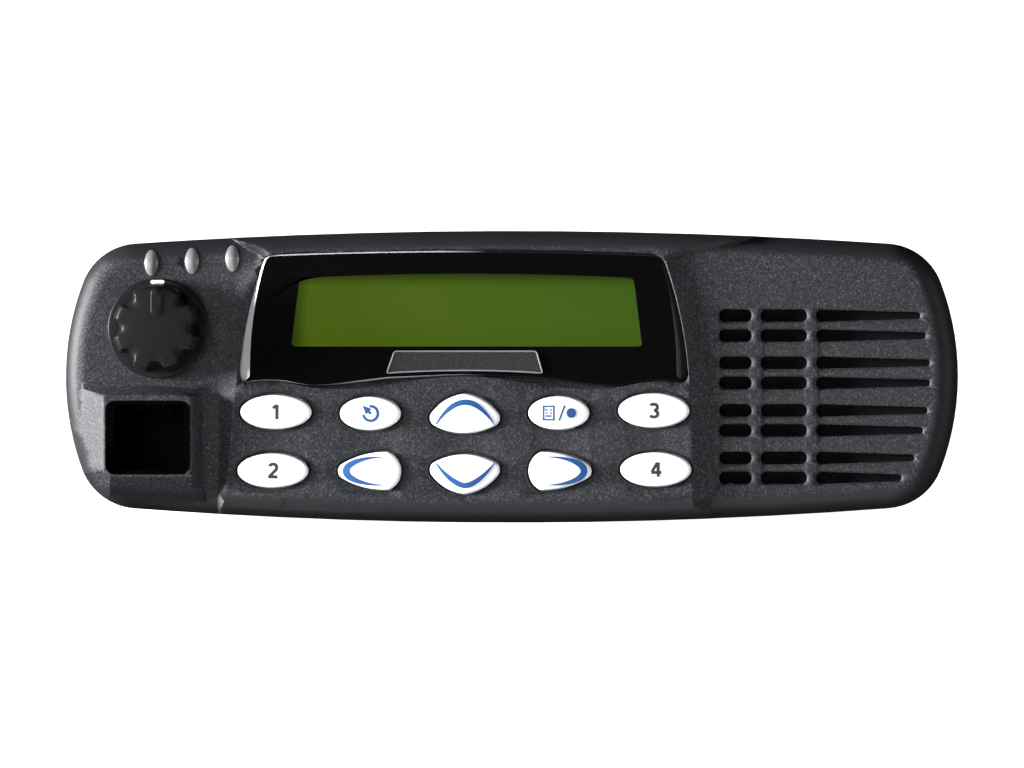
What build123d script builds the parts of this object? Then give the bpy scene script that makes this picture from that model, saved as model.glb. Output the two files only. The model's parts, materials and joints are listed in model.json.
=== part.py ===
from build123d import *
import math
import os

# Vehicle two-way radio with a detachable-style control head, in millimetres.
# Frame: X to the right seen from the front, Y towards the back, Z up.
# The origin is the centre of the footprint, on the surface that the radio stands on.

# ---------------------------------------------------------------- driving sizes
WIDTH = 179.0            # control head, left to right
HEIGHT = 58.5            # control head, standing surface to the crest of its top
BODY_DEPTH = 186.0       # front face to the end of the rear sockets
KNOB_PROUD = 9.0         # volume knob in front of the keypad face
HEAD_DEPTH = 38.0        # control head, front to back
WALL = 2.5               # moulded wall of the head
FACE_STEP = 1.6          # centre section stands this much proud of the sides
EDGE_R = 4.4             # rounding between the face and the head's sides
CORNER_R = 12.0          # corners of the head's outline
SIDE_BULGE = 6.9         # how far the side arcs bow out
TOP_CROWN = 3.0          # how far the top arc rises
BOTTOM_CROWN = 3.4       # how far the bottom arc drops

FIT = 0.3                # clearance round parts that drop into place
GAP = 0.15               # clearance round trim that snaps in
SHAFT_FIT = 0.05         # running clearance of the knob's shaft, on the radius

# ---------------------------------------------------------------- planes that the pieces line up with
FRONT_Y = -(BODY_DEPTH + KNOB_PROUD) / 2 + KNOB_PROUD
BACK_Y = FRONT_Y + BODY_DEPTH
SIDE_Y = FRONT_Y + FACE_STEP          # face of the knob and speaker areas
INNER_Y = SIDE_Y + WALL               # inside of the face wall
KNOB_Y = FRONT_Y - KNOB_PROUD
HEAD_BACK_Y = FRONT_Y + HEAD_DEPTH
LEFT_X = -WIDTH / 2
RIGHT_X = WIDTH / 2

# ---------------------------------------------------------------- keypad
KEY_TRAVEL = 0.8
KEY_PROUD = 1.3
KEY_HOLE_GAP = 0.3
KEY_CHAMFER = 0.9
KEY_LIP = 1.0            # retaining lip, sideways
KEY_LIP_THICK = 1.0
PLUNGER_R = 2.0
MAT_THICK = 3.0
CONTACT_R = 2.6
CONTACT_THICK = 0.35
KEYPAD_X = -9.4
WIDE_KEY = (14.2, 6.85)
SMALL_KEY = (12.2, 6.7)
ARROW_KEY = (15.2, 7.95)      # corner to corner, before its corners are rounded
SIDE_ARROW_KEY = (13.9, 7.65)
ARROW_CORNER_R = 1.7
KEYS = {
    "key_1": ("oval", -47.2, 22.2, WIDE_KEY),
    "key_2": ("oval", -47.8, 10.5, WIDE_KEY),
    "key_3": ("oval", 28.4, 22.5, WIDE_KEY),
    "key_4": ("oval", 28.8, 10.7, WIDE_KEY),
    "key_back": ("oval", -28.3, 21.9, SMALL_KEY),
    "key_menu": ("oval", 9.4, 22.0, SMALL_KEY),
    "key_up": ("up", KEYPAD_X, 21.9, ARROW_KEY),
    "key_down": ("down", KEYPAD_X, 9.75, ARROW_KEY),
    "key_left": ("left", -29.1, 10.4, SIDE_ARROW_KEY),
    "key_right": ("right", 10.3, 10.4, SIDE_ARROW_KEY),
}

MAT_LIFT = FIT + KEY_LIP_THICK + KEY_TRAVEL + FIT      # face wall to keypad mat
BOARD_Y = INNER_Y + MAT_LIFT + MAT_THICK               # front of the control board
BOARD_THICK = 1.6
BOARD_BACK_Y = BOARD_Y + BOARD_THICK

# ---------------------------------------------------------------- display
WINDOW_X = -9.7
WINDOW_RECESS = 2.4
WINDOW_THICK = 2.3
WINDOW_TOP_HALF = 39.5
WINDOW_BOTTOM_HALF = 45.0
WINDOW_BOTTOM_Z = 27.6
WINDOW_SHOULDER_Z = 53.6
WINDOW_CREST_Z = 54.45
VIEW_HALF = 35.6
VIEW_LOW_Z = 35.0
VIEW_HIGH_Z = 50.2
LCD_X = -9.1
LCD_WIDTH = 76.0
LCD_THICK = 2.0
LCD_LOW_Z = 33.4
LCD_HIGH_Z = 51.4
HOLDER_WALL = 1.8
BADGE_X = -9.3
BADGE_TOP_HALF = 14.3
BADGE_BOTTOM_HALF = 16.4
BADGE_LOW_Z = 30.2
BADGE_HIGH_Z = 34.5
BADGE_THICK = 0.5

# ---------------------------------------------------------------- knob and its control
KNOB_X = LEFT_X + 18.6
KNOB_Z = 38.96
KNOB_R = 10.0
KNOB_GRIP_R = 9.0
KNOB_FACE_R = 8.4
KNOB_GAP = 0.6
KNOB_SKIRT = 2.2
SCALLOP_R = 2.1
SCALLOP_PITCH_R = 9.1
SCALLOPS = 8
POINTER = (2.1, 5.6)
POINTER_MID_R = 5.2
SHAFT_R = 3.0
BUSHING_R = 3.5
CONTROL_SIZE = 12.5
CONTROL_DEPTH = 7.0
NUT_THICK = 2.0
NUT_ACROSS = 10.0

# ---------------------------------------------------------------- status lights
PIPES = ((LEFT_X + 17.3, 52.05), (LEFT_X + 25.4, 52.45), (LEFT_X + 33.5, 52.95))
PIPE_HALF_W = 1.35
PIPE_HALF_H = 2.65
LED_THICK = 1.2

# ---------------------------------------------------------------- microphone socket
JACK_X = LEFT_X + 16.7
JACK_Z = 17.1
JACK_OPENING = (17.0, 14.8)
JACK_CORNER_R = 1.9
JACK_PROUD = 3.0         # raised surround in front of the keypad face
JACK_WALL = 1.4
JACK_DEPTH = 18.0
JACK_CAVITY_DEPTH = 15.0
JACK_CONTACT_Y = 10.0    # contacts start this deep in the socket

# ---------------------------------------------------------------- speaker
SPEAKER_X = RIGHT_X - 26.9
SPEAKER_Z = 25.8
SPEAKER_R = 20.0
SPEAKER_DEPTH = 16.0
SPEAKER_RIM = 2.6
MAGNET_R = 12.0
MAGNET_THICK = 6.0
CLOTH_THICK = 0.4
GASKET_THICK = 1.0
RIM_THICK = 1.2
CLIP_SPOTS = ((SPEAKER_X - 19.3, SPEAKER_Z - 20.3), (SPEAKER_X + 17.8, SPEAKER_Z + 19.6))
CLIP_WIDTH = 3.6
CLIP_GRIP = 1.5          # how far a clip reaches over the speaker's rim
SLOT_HEIGHT = 2.5
SLOT_ROWS = (41.5, 37.5, 32.05, 28.0, 22.5, 18.5, 13.0, 9.0)
SLOT_COLUMNS = ((SPEAKER_X - 21.1, SPEAKER_X - 14.6), (SPEAKER_X - 12.8, SPEAKER_X - 3.5))
LONG_SLOT_X = SPEAKER_X - 1.7
SLOT_INSETS = (7.7, 6.6, 5.8, 5.8, 6.3, 7.2, 8.9, 11.5)     # ends of the long slots, from the head's side
SLOT_CHAMFER = 0.45
SLOT_FLAT = 0.08         # straight bit left between a slot end's two roundings

PIPE_GAP = 0.15
PIPE_REACH = 3.0         # bar that joins the three light pipes, behind the face wall
POINTER_PROUD = 0.4      # pointer rib in front of the knob face
KNOB_CROWN = 2.5
KNOB_HUB_R = 4.6
KNOB_HOLLOW_R = 6.9
KNOB_HOLLOW_DEPTH = 6.0
SLOT_TIP = 1.3
BOARD_POST_R = 1.7
CLIP_POST_R = 2.2
SMALL_SCREW_R = 0.85
SMALL_HEAD_R = 1.8
SMALL_HEAD_H = 1.2
BOARD_POSTS = ((-57.6, 36.2), (35.6, 33.5), (-37.3, 16.4), (18.4, 16.4))
BOARD_RIGHT_X = 38.0
HEAD_POST_INSET = 19.5
HEAD_POST_DROP = 14.5
HEAD_POST_LOW_Z = 12.2
HEAD_POSTS = [
    (side * (WIDTH / 2 - HEAD_POST_INSET), z)
    for z in (HEIGHT - HEAD_POST_DROP, HEAD_POST_LOW_Z)
    for side in (-1, 1)
]
HEAD_POST_R = 3.2
HEAD_POST_LENGTH = 14.0
HEAD_SCREW_R = 1.5
JACK_HALF_W = 8.5
JACK_HALF_H = 8.0
MAT_LEFT_X = -56.2
MAT_RIGHT_X = 37.0
MAT_LOW_Z = 5.4
MAT_HIGH_Z = 29.0
CLOTH_LEFT_X = SPEAKER_X - 22.0
CLOTH_RIGHT_X = RIGHT_X - 4.5
CLIP_Y = INNER_Y + CLOTH_THICK + GASKET_THICK + RIM_THICK

# ---------------------------------------------------------------- chassis and cover
CHASSIS_INSET = 7.5      # chassis side in from the head's side
CHASSIS_HALF = WIDTH / 2 - CHASSIS_INSET
CHASSIS_WALL = 3.2
FIN_HEIGHT = 6.0
FIN_THICK = 2.2
FIN_PITCH = 11.0
FIN_COUNT = 2 * int((CHASSIS_HALF - FIN_THICK) // FIN_PITCH) + 1
FLOOR_THICK = 3.0
WALL_DROP = 9.9          # chassis walls below the head's crest
WALL_TOP_Z = HEIGHT - WALL_DROP
STAND_HALF = 30.0        # the fins within this distance of the middle carry the radio
REAR_REACH = 7.5         # antenna socket beyond the back wall
CHASSIS_CORNER_R = 5.0
FLANGE_THICK = 3.0
FLANGE_INSET = 0.5
SEAL_THICK = 1.2
COVER_SEAL_THICK = 0.8
COVER_THICK = 2.6
STANDOFF_R = 3.6
STANDOFF_H = 7.0
REAR_FIN_DEPTH = 6.0
SIDE_HOLE_R = 2.1        # tapping drill of an M5 thread
SIDE_HOLE_DEPTH = 8.0
SIDE_HOLE_SPACING = 40.0
SIDE_HOLE_Y = 18.0
SIDE_HOLE_Z = 28.0
SIDE_BOSS_R = 5.0

CHASSIS_BACK_Y = BACK_Y - REAR_REACH
FLANGE_Y = HEAD_BACK_Y + SEAL_THICK
TRAY_Y = FLANGE_Y + FLANGE_THICK
FLOOR_Z = FIN_HEIGHT + FLOOR_THICK
MAIN_BOARD_Z = FLOOR_Z + STANDOFF_H
MAIN_BOARD_TOP = MAIN_BOARD_Z + BOARD_THICK
COVER_Z = WALL_TOP_Z + COVER_SEAL_THICK
TRAY_LENGTH = CHASSIS_BACK_Y - TRAY_Y
TRAY_MID_Y = (CHASSIS_BACK_Y + TRAY_Y) / 2
REAR_INNER_Y = CHASSIS_BACK_Y - CHASSIS_WALL
ANTENNA_INSIDE_Y = REAR_INNER_Y - 6.0
COVER_POST_R = 3.8
POST_INSET = CHASSIS_WALL + 1.6
COVER_POSTS = (
    [(side * (CHASSIS_HALF - POST_INSET), y)
     for side in (-1, 1)
     for y in (TRAY_Y + 7.0, TRAY_MID_Y, CHASSIS_BACK_Y - 5.5)]
)

REAR_FIN_SPOTS = [-22, -16, -10, -4, 2, 8, *[side * (CHASSIS_HALF - inset) for inset in (10, 5) for side in (1, -1)]]
FIN_SETBACK = 4.0
COVER_SCREW_R = 1.5
COVER_SCREW_LENGTH = 9.0
COVER_HEAD_R = 2.9
COVER_GROOVES = 8
COVER_GROOVE_PITCH = 12.0
COVER_GROOVE_LENGTH = 120.0
COVER_GROOVE_WIDTH = 4.0
COVER_GROOVE_DEPTH = 0.8
SEAL_INSET = 0.6
BOARD_HALF = CHASSIS_HALF - 10.0
BOARD_SCREW_R = 1.5
STANDOFF_X = BOARD_HALF - 6.0
STANDOFFS = (
    (-STANDOFF_X, TRAY_Y + 12.3),
    (10.0, TRAY_Y + 8.3),
    (STANDOFF_X, TRAY_Y + 12.3),
    (-STANDOFF_X, REAR_INNER_Y - 24.8),
    (4.0, REAR_INNER_Y - 20.8),
    (STANDOFF_X, REAR_INNER_Y - 34.8),
)
AMP_X = 38.0
AMP_Y = 20.0
AMP_SIZE = (56.0, 18.0, 8.0)
AMP_Z = FLOOR_Z + 3.0
LINK_X = -10.0
LINK_Z = 20.0
LINK_HALF = 12.0
LINK_DEPTH = 4.0
CLIP_THICK = 1.0
COIL_R = 5.0
SHIELDS = ((-42, -6, 40, 36, 7), (34, -16, 40, 30, 6), (-20, 46, 32, 24, 6))
CHIPS = ((-8, -8, 14, 14), (-10, 14, 10, 12), (-52, 34, 18, 12), (62, -6, 9, 9))
CAPACITORS = ((22, 42, 5, 14), (35, 42, 5, 14), (48, 42, 5, 14), (-56, 52, 4, 11))
COILS = ((24, 62), (42, 62))
COIL_CORE_R = 5.5
CRYSTAL = (-34, 24)

# ---------------------------------------------------------------- rear sockets
PIN_RECESS = 1.0
ANTENNA_BODY_R = 5.5
INSULATOR_R = 3.2
CONTACT_TUBE_R = 1.1
ANTENNA_X = 58.0
ANTENNA_Z = 28.0
ANTENNA_R = 4.75         # outside of the threaded barrel
POWER_X = 27.0
POWER_Z = 27.0
POWER_SIZE = (22.0, 14.0)
ACCESSORY_X = -48.0
ACCESSORY_Z = 27.0
ACCESSORY_SIZE = (36.0, 13.0)
SOCKET_WALL = 1.6
SOCKET_PROUD = 5.0
SOCKET_INSIDE = 9.0      # length of a socket body inside the rear wall


# ---------------------------------------------------------------- helpers
def upright(y):
    """Vertical plane at depth y: its own x is +X, its own y is +Z, and it looks forward."""
    return Plane.XZ.offset(-y)


def circle_through(start, middle, end):
    """Centre and radius of the circle through three points of the plane."""
    (ax, az), (bx, bz), (cx, cz) = start, middle, end
    det = 2 * (ax * (bz - cz) + bx * (cz - az) + cx * (az - bz))
    a2, b2, c2 = ax * ax + az * az, bx * bx + bz * bz, cx * cx + cz * cz
    x = (a2 * (bz - cz) + b2 * (cz - az) + c2 * (az - bz)) / det
    z = (a2 * (cx - bx) + b2 * (ax - cx) + c2 * (bx - ax)) / det
    return Vector(x, z), (Vector(ax, az) - Vector(x, z)).length


def circles_meet(first, second, near):
    """Point where two circles cross, the one nearer to a given point."""
    (c1, r1), (c2, r2) = first, second
    between = c2 - c1
    along = (between.length**2 + r1**2 - r2**2) / (2 * between.length)
    aside = max(r1**2 - along**2, 0.0) ** 0.5
    unit = between.normalized()
    across = Vector(-unit.Y, unit.X)
    crossings = [c1 + unit * along + across * side * aside for side in (-1, 1)]
    return min(crossings, key=lambda point: (point - Vector(*near)).length)


def arc_outline(arcs, corner_r, grow=0.0):
    """Closed convex outline of arcs with rounded corners, moved outwards by grow.

    Each arc is (start, middle, end). A moved arc keeps its centre and changes its radius.
    """
    circles = []
    middles = []
    for start, middle, end in arcs:
        centre, radius = circle_through(start, middle, end)
        circles.append((centre, radius + grow))
        middles.append(centre + (Vector(*middle) - centre).normalized() * (radius + grow))
    corners = [
        circles_meet(circles[index - 1], circles[index], arcs[index][0])
        for index in range(len(arcs))
    ]
    corners.append(corners[0])
    with BuildSketch() as outline:
        with BuildLine():
            for index, middle in enumerate(middles):
                ThreePointArc(corners[index], middle, corners[index + 1])
        make_face()
        fillet(outline.vertices(), corner_r + grow)
    return outline.sketch


def head_profile(y, inset=0.0):
    """Outline of the control head at depth y, drawn in from the outside by inset."""
    half = WIDTH / 2
    corner_x = half - SIDE_BULGE
    high = HEIGHT - TOP_CROWN
    low = BOTTOM_CROWN
    middle = (high + low) / 2
    arcs = (
        ((-corner_x, high), (0, HEIGHT), (corner_x, high)),
        ((corner_x, high), (half, middle), (corner_x, low)),
        ((corner_x, low), (0, 0), (-corner_x, low)),
        ((-corner_x, low), (-half, middle), (-corner_x, high)),
    )
    return upright(y) * arc_outline(arcs, CORNER_R, -inset)


def key_profile(y, shape, x, z, size, grow=0.0):
    """Outline of a key or of its hole: an oval, or a rounded arrow with a bowed base."""
    half_w = size[0] / 2
    half_h = size[1] / 2
    if shape == "oval":
        with BuildSketch(upright(y)) as oval:
            with Locations((x, z)):
                Ellipse(half_w + grow, half_h + grow)
        return oval.sketch
    if shape in ("up", "down"):
        tip = half_h if shape == "up" else -half_h
        shoulder_z = z - 0.36 * tip
        flank_z = z + 0.56 * tip
        arcs = (
            ((x, z + tip), (x + half_w * 0.60, flank_z), (x + half_w, shoulder_z)),
            ((x + half_w, shoulder_z), (x, z - tip), (x - half_w, shoulder_z)),
            ((x - half_w, shoulder_z), (x - half_w * 0.60, flank_z), (x, z + tip)),
        )
    else:
        tip = half_w if shape == "right" else -half_w
        shoulder_x = x - 0.66 * tip
        flank_x = x + 0.30 * tip
        arcs = (
            ((x + tip, z), (flank_x, z + half_h * 0.72), (shoulder_x, z + half_h)),
            ((shoulder_x, z + half_h), (x - tip, z), (shoulder_x, z - half_h)),
            ((shoulder_x, z - half_h), (flank_x, z - half_h * 0.72), (x + tip, z)),
        )
    return upright(y) * arc_outline(arcs, ARROW_CORNER_R, grow)


def window_profile(y, grow=0.0):
    """Outline of the display window: arched top, splayed sides and a waved lower edge."""
    top_half = WINDOW_TOP_HALF + grow
    low_half = WINDOW_BOTTOM_HALF + grow
    mid_half = (top_half + low_half) / 2 + 1.1
    shoulder_z = WINDOW_SHOULDER_Z + grow
    low_z = WINDOW_BOTTOM_Z - grow
    mid_z = (shoulder_z + low_z) / 2
    right_top = (WINDOW_X + top_half, shoulder_z)
    left_top = (WINDOW_X - top_half, shoulder_z)
    right_low = (WINDOW_X + low_half, low_z)
    left_low = (WINDOW_X - low_half, low_z)
    with BuildSketch(upright(y)) as profile:
        with BuildLine():
            ThreePointArc(left_top, (WINDOW_X, WINDOW_CREST_Z + grow), right_top)
            ThreePointArc(right_top, (WINDOW_X + mid_half, mid_z), right_low)
            Spline(
                right_low,
                (WINDOW_X + 36.5, low_z + 0.75),
                (WINDOW_X + 30.5, low_z - 0.35),
                (WINDOW_X, low_z + 1.9),
                (WINDOW_X - 30.5, low_z - 0.35),
                (WINDOW_X - 36.5, low_z + 0.75),
                left_low,
            )
            ThreePointArc(left_low, (WINDOW_X - mid_half, mid_z), left_top)
        make_face()
        fillet(profile.vertices().sort_by(Axis.Y)[-2:], 3.2 + grow)
        lows = profile.vertices().sort_by(Axis.X)
        fillet([lows[0], lows[-1]], 1.6 + grow)
    return profile.sketch


def slot_profile(y, x_from, x_to, z, tip_height, grow=0.0):
    """Outline of one speaker slot, tapering from the full slot height to tip_height."""
    half = SLOT_HEIGHT / 2 + grow
    tip_half = tip_height / 2 + grow
    with BuildSketch(upright(y)) as profile:
        with BuildLine():
            Polyline(
                (x_from - grow, z - half),
                (x_to + grow, z - tip_half),
                (x_to + grow, z + tip_half),
                (x_from - grow, z + half),
                close=True,
            )
        make_face()
        fillet(profile.vertices().sort_by(Axis.X)[:2], half - SLOT_FLAT)
        fillet(profile.vertices().sort_by(Axis.X)[-2:], tip_half - SLOT_FLAT)
    return profile.sketch


def block(low, high, mode=Mode.ADD):
    """Block between two opposite corners, for use inside a part."""
    middle = [(a + b) / 2 for a, b in zip(low, high)]
    size = [b - a for a, b in zip(low, high)]
    with Locations(tuple(middle)):
        Box(*size, mode=mode)


def post(x, y, radius, z_from, z_to, mode=Mode.ADD):
    """Round bar along Z, for use inside a part."""
    with Locations((x, y, (z_from + z_to) / 2)):
        Cylinder(radius, z_to - z_from, mode=mode)


def rod(x, z, radius, y_from, y_to, mode=Mode.ADD):
    """Round bar along Y, for use inside a part."""
    with Locations(Location((x, (y_from + y_to) / 2, z), (90, 0, 0))):
        Cylinder(radius, y_to - y_from, mode=mode)


def save(piece, name):
    """Label a finished piece and write it to its own file."""
    piece.label = name
    export_step(piece, f"parts/{name}.step")


os.makedirs("parts", exist_ok=True)

# ================================================================ control head
# Centre section: the keypad and display area, with sloped flanks
FLANK = 3.4
with BuildPart() as centre_wedge:
    with BuildSketch(upright(SIDE_Y)) as wedge_base:
        with BuildLine():
            Polyline((-62.0, HEIGHT + 2), (60.0, HEIGHT + 2), (32.4, 52.6))
            ThreePointArc((32.4, 52.6), (37.4, 39.5), (39.2, 27.0))
            Polyline((39.2, 27.0), (40.0, -2), (-58.8, -2), (-58.8, 27.0))
            ThreePointArc((-58.8, 27.0), (-56.0, 41.0), (-50.2, 53.4))
            Line((-50.2, 53.4), (-62.0, HEIGHT + 2))
        make_face()
    with BuildSketch(upright(FRONT_Y)) as wedge_top:
        with BuildLine():
            Polyline((-48.6, HEIGHT + 2), (33.4, HEIGHT + 2), (30.9, 52.6))
            ThreePointArc((30.9, 52.6), (34.2, 39.5), (35.6, 27.0))
            Polyline((35.6, 27.0), (36.2, -2), (-57.8, -2), (-55.4, 27.0))
            ThreePointArc((-55.4, 27.0), (-52.9, 41.0), (-48.6, 53.4))
            Line((-48.6, 53.4), (-48.6, HEIGHT + 2))
        make_face()
    loft(ruled=True)
    extrude(wedge_base.sketch, amount=-(EDGE_R + 1.0))

with BuildPart() as centre_section:
    extrude(head_profile(FRONT_Y), amount=-(FACE_STEP + EDGE_R + 1.0))
    fillet(centre_section.faces().sort_by(Axis.Y)[0].edges(), EDGE_R)
    add(centre_wedge.part, mode=Mode.INTERSECT)

# Raised surround of the microphone socket, a truncated pyramid in the lower left corner
with BuildPart() as jack_surround:
    with BuildSketch(upright(SIDE_Y + EDGE_R)) as surround_base:
        with BuildLine():
            ThreePointArc((LEFT_X - 0.5, 28.2), (LEFT_X + 16.5, 29.6), (LEFT_X + 30.5, 27.9))
            Polyline(
                (LEFT_X + 30.5, 27.9),
                (LEFT_X + 30.5, 0.5),
                (LEFT_X + 8.5, 1.0),
                (LEFT_X - 0.5, 9.0),
                (LEFT_X - 0.5, 28.2),
            )
        make_face()
    with BuildSketch(upright(FRONT_Y - JACK_PROUD)) as surround_top:
        with BuildLine():
            ThreePointArc((LEFT_X + 7.9, 25.4), (LEFT_X + 16.5, 25.7), (LEFT_X + 25.5, 25.4))
            Polyline(
                (LEFT_X + 25.5, 25.4),
                (LEFT_X + 25.5, 9.3),
                (LEFT_X + 9.3, 9.3),
                (LEFT_X + 7.9, 10.7),
                (LEFT_X + 7.9, 25.4),
            )
        make_face()
    loft(ruled=True)
    fillet(jack_surround.faces().sort_by(Axis.Y)[0].edges(), 0.8)
    extrude(head_profile(FRONT_Y - JACK_PROUD - 1), amount=-30, mode=Mode.INTERSECT)

with BuildPart() as front_housing:
    extrude(head_profile(SIDE_Y), amount=-(HEAD_BACK_Y - SIDE_Y))
    fillet(front_housing.faces().sort_by(Axis.Y)[0].edges(), EDGE_R)
    add(centre_section.part)
    add(jack_surround.part)
    extrude(head_profile(INNER_Y, WALL), amount=-(HEAD_BACK_Y - INNER_Y), mode=Mode.SUBTRACT)
    # display window: a pocket with a ledge, then the view opening
    extrude(window_profile(FRONT_Y - 1, GAP), amount=-(WINDOW_RECESS + 1), mode=Mode.SUBTRACT)
    with BuildSketch(upright(FRONT_Y)) as view_opening:
        with Locations((WINDOW_X, (VIEW_LOW_Z + VIEW_HIGH_Z) / 2)):
            RectangleRounded(2 * VIEW_HALF + 2, VIEW_HIGH_Z - VIEW_LOW_Z + 1.6, 1.5)
    extrude(view_opening.sketch, amount=-(INNER_Y - FRONT_Y + 1), mode=Mode.SUBTRACT)
    # key holes, each with a bevelled rim
    for shape, x, z, size in KEYS.values():
        extrude(
            key_profile(INNER_Y + 1, shape, x, z, size, KEY_HOLE_GAP),
            amount=INNER_Y - FRONT_Y + 3,
            mode=Mode.SUBTRACT,
        )
        wide = key_profile(FRONT_Y, shape, x, z, size, KEY_HOLE_GAP + KEY_CHAMFER)
        narrow = key_profile(FRONT_Y + KEY_CHAMFER, shape, x, z, size, KEY_HOLE_GAP)
        loft([wide.faces()[0], narrow.faces()[0]], ruled=True, mode=Mode.SUBTRACT)
    # speaker slots: two short columns and a long tapering one
    for z, inset in zip(SLOT_ROWS, SLOT_INSETS):
        slots = [(x_from, x_to, SLOT_HEIGHT) for x_from, x_to in SLOT_COLUMNS]
        for x_from, x_to, tip in [*slots, (LONG_SLOT_X, RIGHT_X - inset, SLOT_TIP)]:
            extrude(slot_profile(INNER_Y + 1, x_from, x_to, z, tip), amount=WALL + 2, mode=Mode.SUBTRACT)
            wide = slot_profile(SIDE_Y, x_from, x_to, z, tip, SLOT_CHAMFER)
            narrow = slot_profile(SIDE_Y + SLOT_CHAMFER, x_from, x_to, z, tip)
            loft([wide.faces()[0], narrow.faces()[0]], ruled=True, mode=Mode.SUBTRACT)
    # microphone socket, status lights and the bushing of the volume control
    with BuildSketch(upright(INNER_Y + 1)) as jack_opening:
        with Locations((JACK_X, JACK_Z)):
            RectangleRounded(*JACK_OPENING, JACK_CORNER_R)
    extrude(jack_opening.sketch, amount=INNER_Y - FRONT_Y + JACK_PROUD + 3, mode=Mode.SUBTRACT)
    for x, z in PIPES:
        with BuildSketch(upright(BOARD_Y)) as pipe_hole:
            with Locations((x, z)):
                Ellipse(PIPE_HALF_W + PIPE_GAP, PIPE_HALF_H + PIPE_GAP)
        extrude(pipe_hole.sketch, amount=BOARD_Y - SIDE_Y + 1, mode=Mode.SUBTRACT)
    rod(KNOB_X, KNOB_Z, BUSHING_R + FIT, SIDE_Y - 1, INNER_Y + 1, mode=Mode.SUBTRACT)
    # posts for the control board, the speaker clips and the joining screws
    for x, z in BOARD_POSTS:
        rod(x, z, BOARD_POST_R, INNER_Y - 0.5, BOARD_Y)
        rod(x, z, SMALL_SCREW_R, INNER_Y, BOARD_Y + 1, mode=Mode.SUBTRACT)
    for x, z in CLIP_SPOTS:
        rod(x, z, CLIP_POST_R, INNER_Y - 0.5, CLIP_Y)
        rod(x, z, SMALL_SCREW_R, INNER_Y, CLIP_Y + 1, mode=Mode.SUBTRACT)
    for x, z in HEAD_POSTS:
        wall_x = (WIDTH / 2 - 4.0) * (1 if x > 0 else -1)
        rod(x, z, HEAD_POST_R, HEAD_BACK_Y - HEAD_POST_LENGTH, HEAD_BACK_Y)
        block((min(x, wall_x), HEAD_BACK_Y - HEAD_POST_LENGTH, z - 1.2), (max(x, wall_x), HEAD_BACK_Y, z + 1.2))
        rod(x, z, HEAD_SCREW_R, HEAD_BACK_Y - HEAD_POST_LENGTH + 2, HEAD_BACK_Y + 1, mode=Mode.SUBTRACT)
save(front_housing.part, "front_housing")

# ---------------------------------------------------------------- display
with BuildPart() as display_window:
    extrude(window_profile(FRONT_Y + WINDOW_RECESS), amount=WINDOW_THICK)
    chamfer(display_window.faces().sort_by(Axis.Y)[0].edges(), 0.5)
save(display_window.part, "display_window")

with BuildPart() as badge_plate:
    with BuildSketch(upright(FRONT_Y + WINDOW_RECESS - WINDOW_THICK)) as badge_profile:
        with BuildLine():
            ThreePointArc(
                (BADGE_X - BADGE_BOTTOM_HALF, BADGE_LOW_Z - 0.5),
                (BADGE_X, BADGE_LOW_Z),
                (BADGE_X + BADGE_BOTTOM_HALF, BADGE_LOW_Z - 0.5),
            )
            Polyline(
                (BADGE_X + BADGE_BOTTOM_HALF, BADGE_LOW_Z - 0.5),
                (BADGE_X + BADGE_TOP_HALF, BADGE_HIGH_Z),
                (BADGE_X - BADGE_TOP_HALF, BADGE_HIGH_Z),
                (BADGE_X - BADGE_BOTTOM_HALF, BADGE_LOW_Z - 0.5),
            )
        make_face()
        fillet(badge_profile.vertices(), 0.8)
    extrude(amount=BADGE_THICK)
save(badge_plate.part, "badge_plate")

LCD_Y = INNER_Y + GAP
GUIDE_Y = LCD_Y + LCD_THICK
LCD_HALF = LCD_WIDTH / 2
with BuildPart() as lcd_glass:
    block((LCD_X - LCD_HALF, LCD_Y, LCD_LOW_Z), (LCD_X + LCD_HALF, GUIDE_Y, LCD_HIGH_Z))
save(lcd_glass.part, "lcd_glass")

with BuildPart() as backlight_guide:
    block((LCD_X - LCD_HALF, GUIDE_Y, LCD_LOW_Z), (LCD_X + LCD_HALF, BOARD_Y, LCD_HIGH_Z))
    chamfer(backlight_guide.edges().filter_by(Axis.Z).sort_by(Axis.Y)[:2], 0.8)
save(backlight_guide.part, "backlight_guide")

with BuildPart() as lcd_holder:
    rim = HOLDER_WALL + GAP
    block((LCD_X - LCD_HALF - rim, INNER_Y, LCD_LOW_Z - rim), (LCD_X + LCD_HALF + rim, BOARD_Y, LCD_HIGH_Z + rim))
    block(
        (LCD_X - LCD_HALF - GAP, INNER_Y - 1, LCD_LOW_Z - GAP),
        (LCD_X + LCD_HALF + GAP, BOARD_Y + 1, LCD_HIGH_Z + GAP),
        mode=Mode.SUBTRACT,
    )
save(lcd_holder.part, "lcd_holder")

# ---------------------------------------------------------------- status lights
# The pipes end flush with the rounded face, so they are cut by the head's own outer shape
with BuildPart() as lit_face:
    extrude(head_profile(SIDE_Y), amount=-(HEAD_BACK_Y - SIDE_Y))
    fillet(lit_face.faces().sort_by(Axis.Y)[0].edges(), EDGE_R)

with BuildPart() as status_light_pipe:
    for x, z in PIPES:
        with BuildSketch(upright(BOARD_Y - LED_THICK)) as pipe:
            with Locations((x, z)):
                Ellipse(PIPE_HALF_W, PIPE_HALF_H)
        extrude(pipe.sketch, amount=BOARD_Y - LED_THICK - SIDE_Y + 1)
    with BuildSketch(upright(INNER_Y + PIPE_REACH - 0.2)) as pipe_bar:
        with BuildLine():
            Polyline(*[(x, z - 2.0) for x, z in PIPES], *[(x, z) for x, z in reversed(PIPES)], close=True)
        make_face()
    extrude(pipe_bar.sketch, amount=1.2)
    add(lit_face.part, mode=Mode.INTERSECT)
save(status_light_pipe.part, "status_light_pipe")

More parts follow.
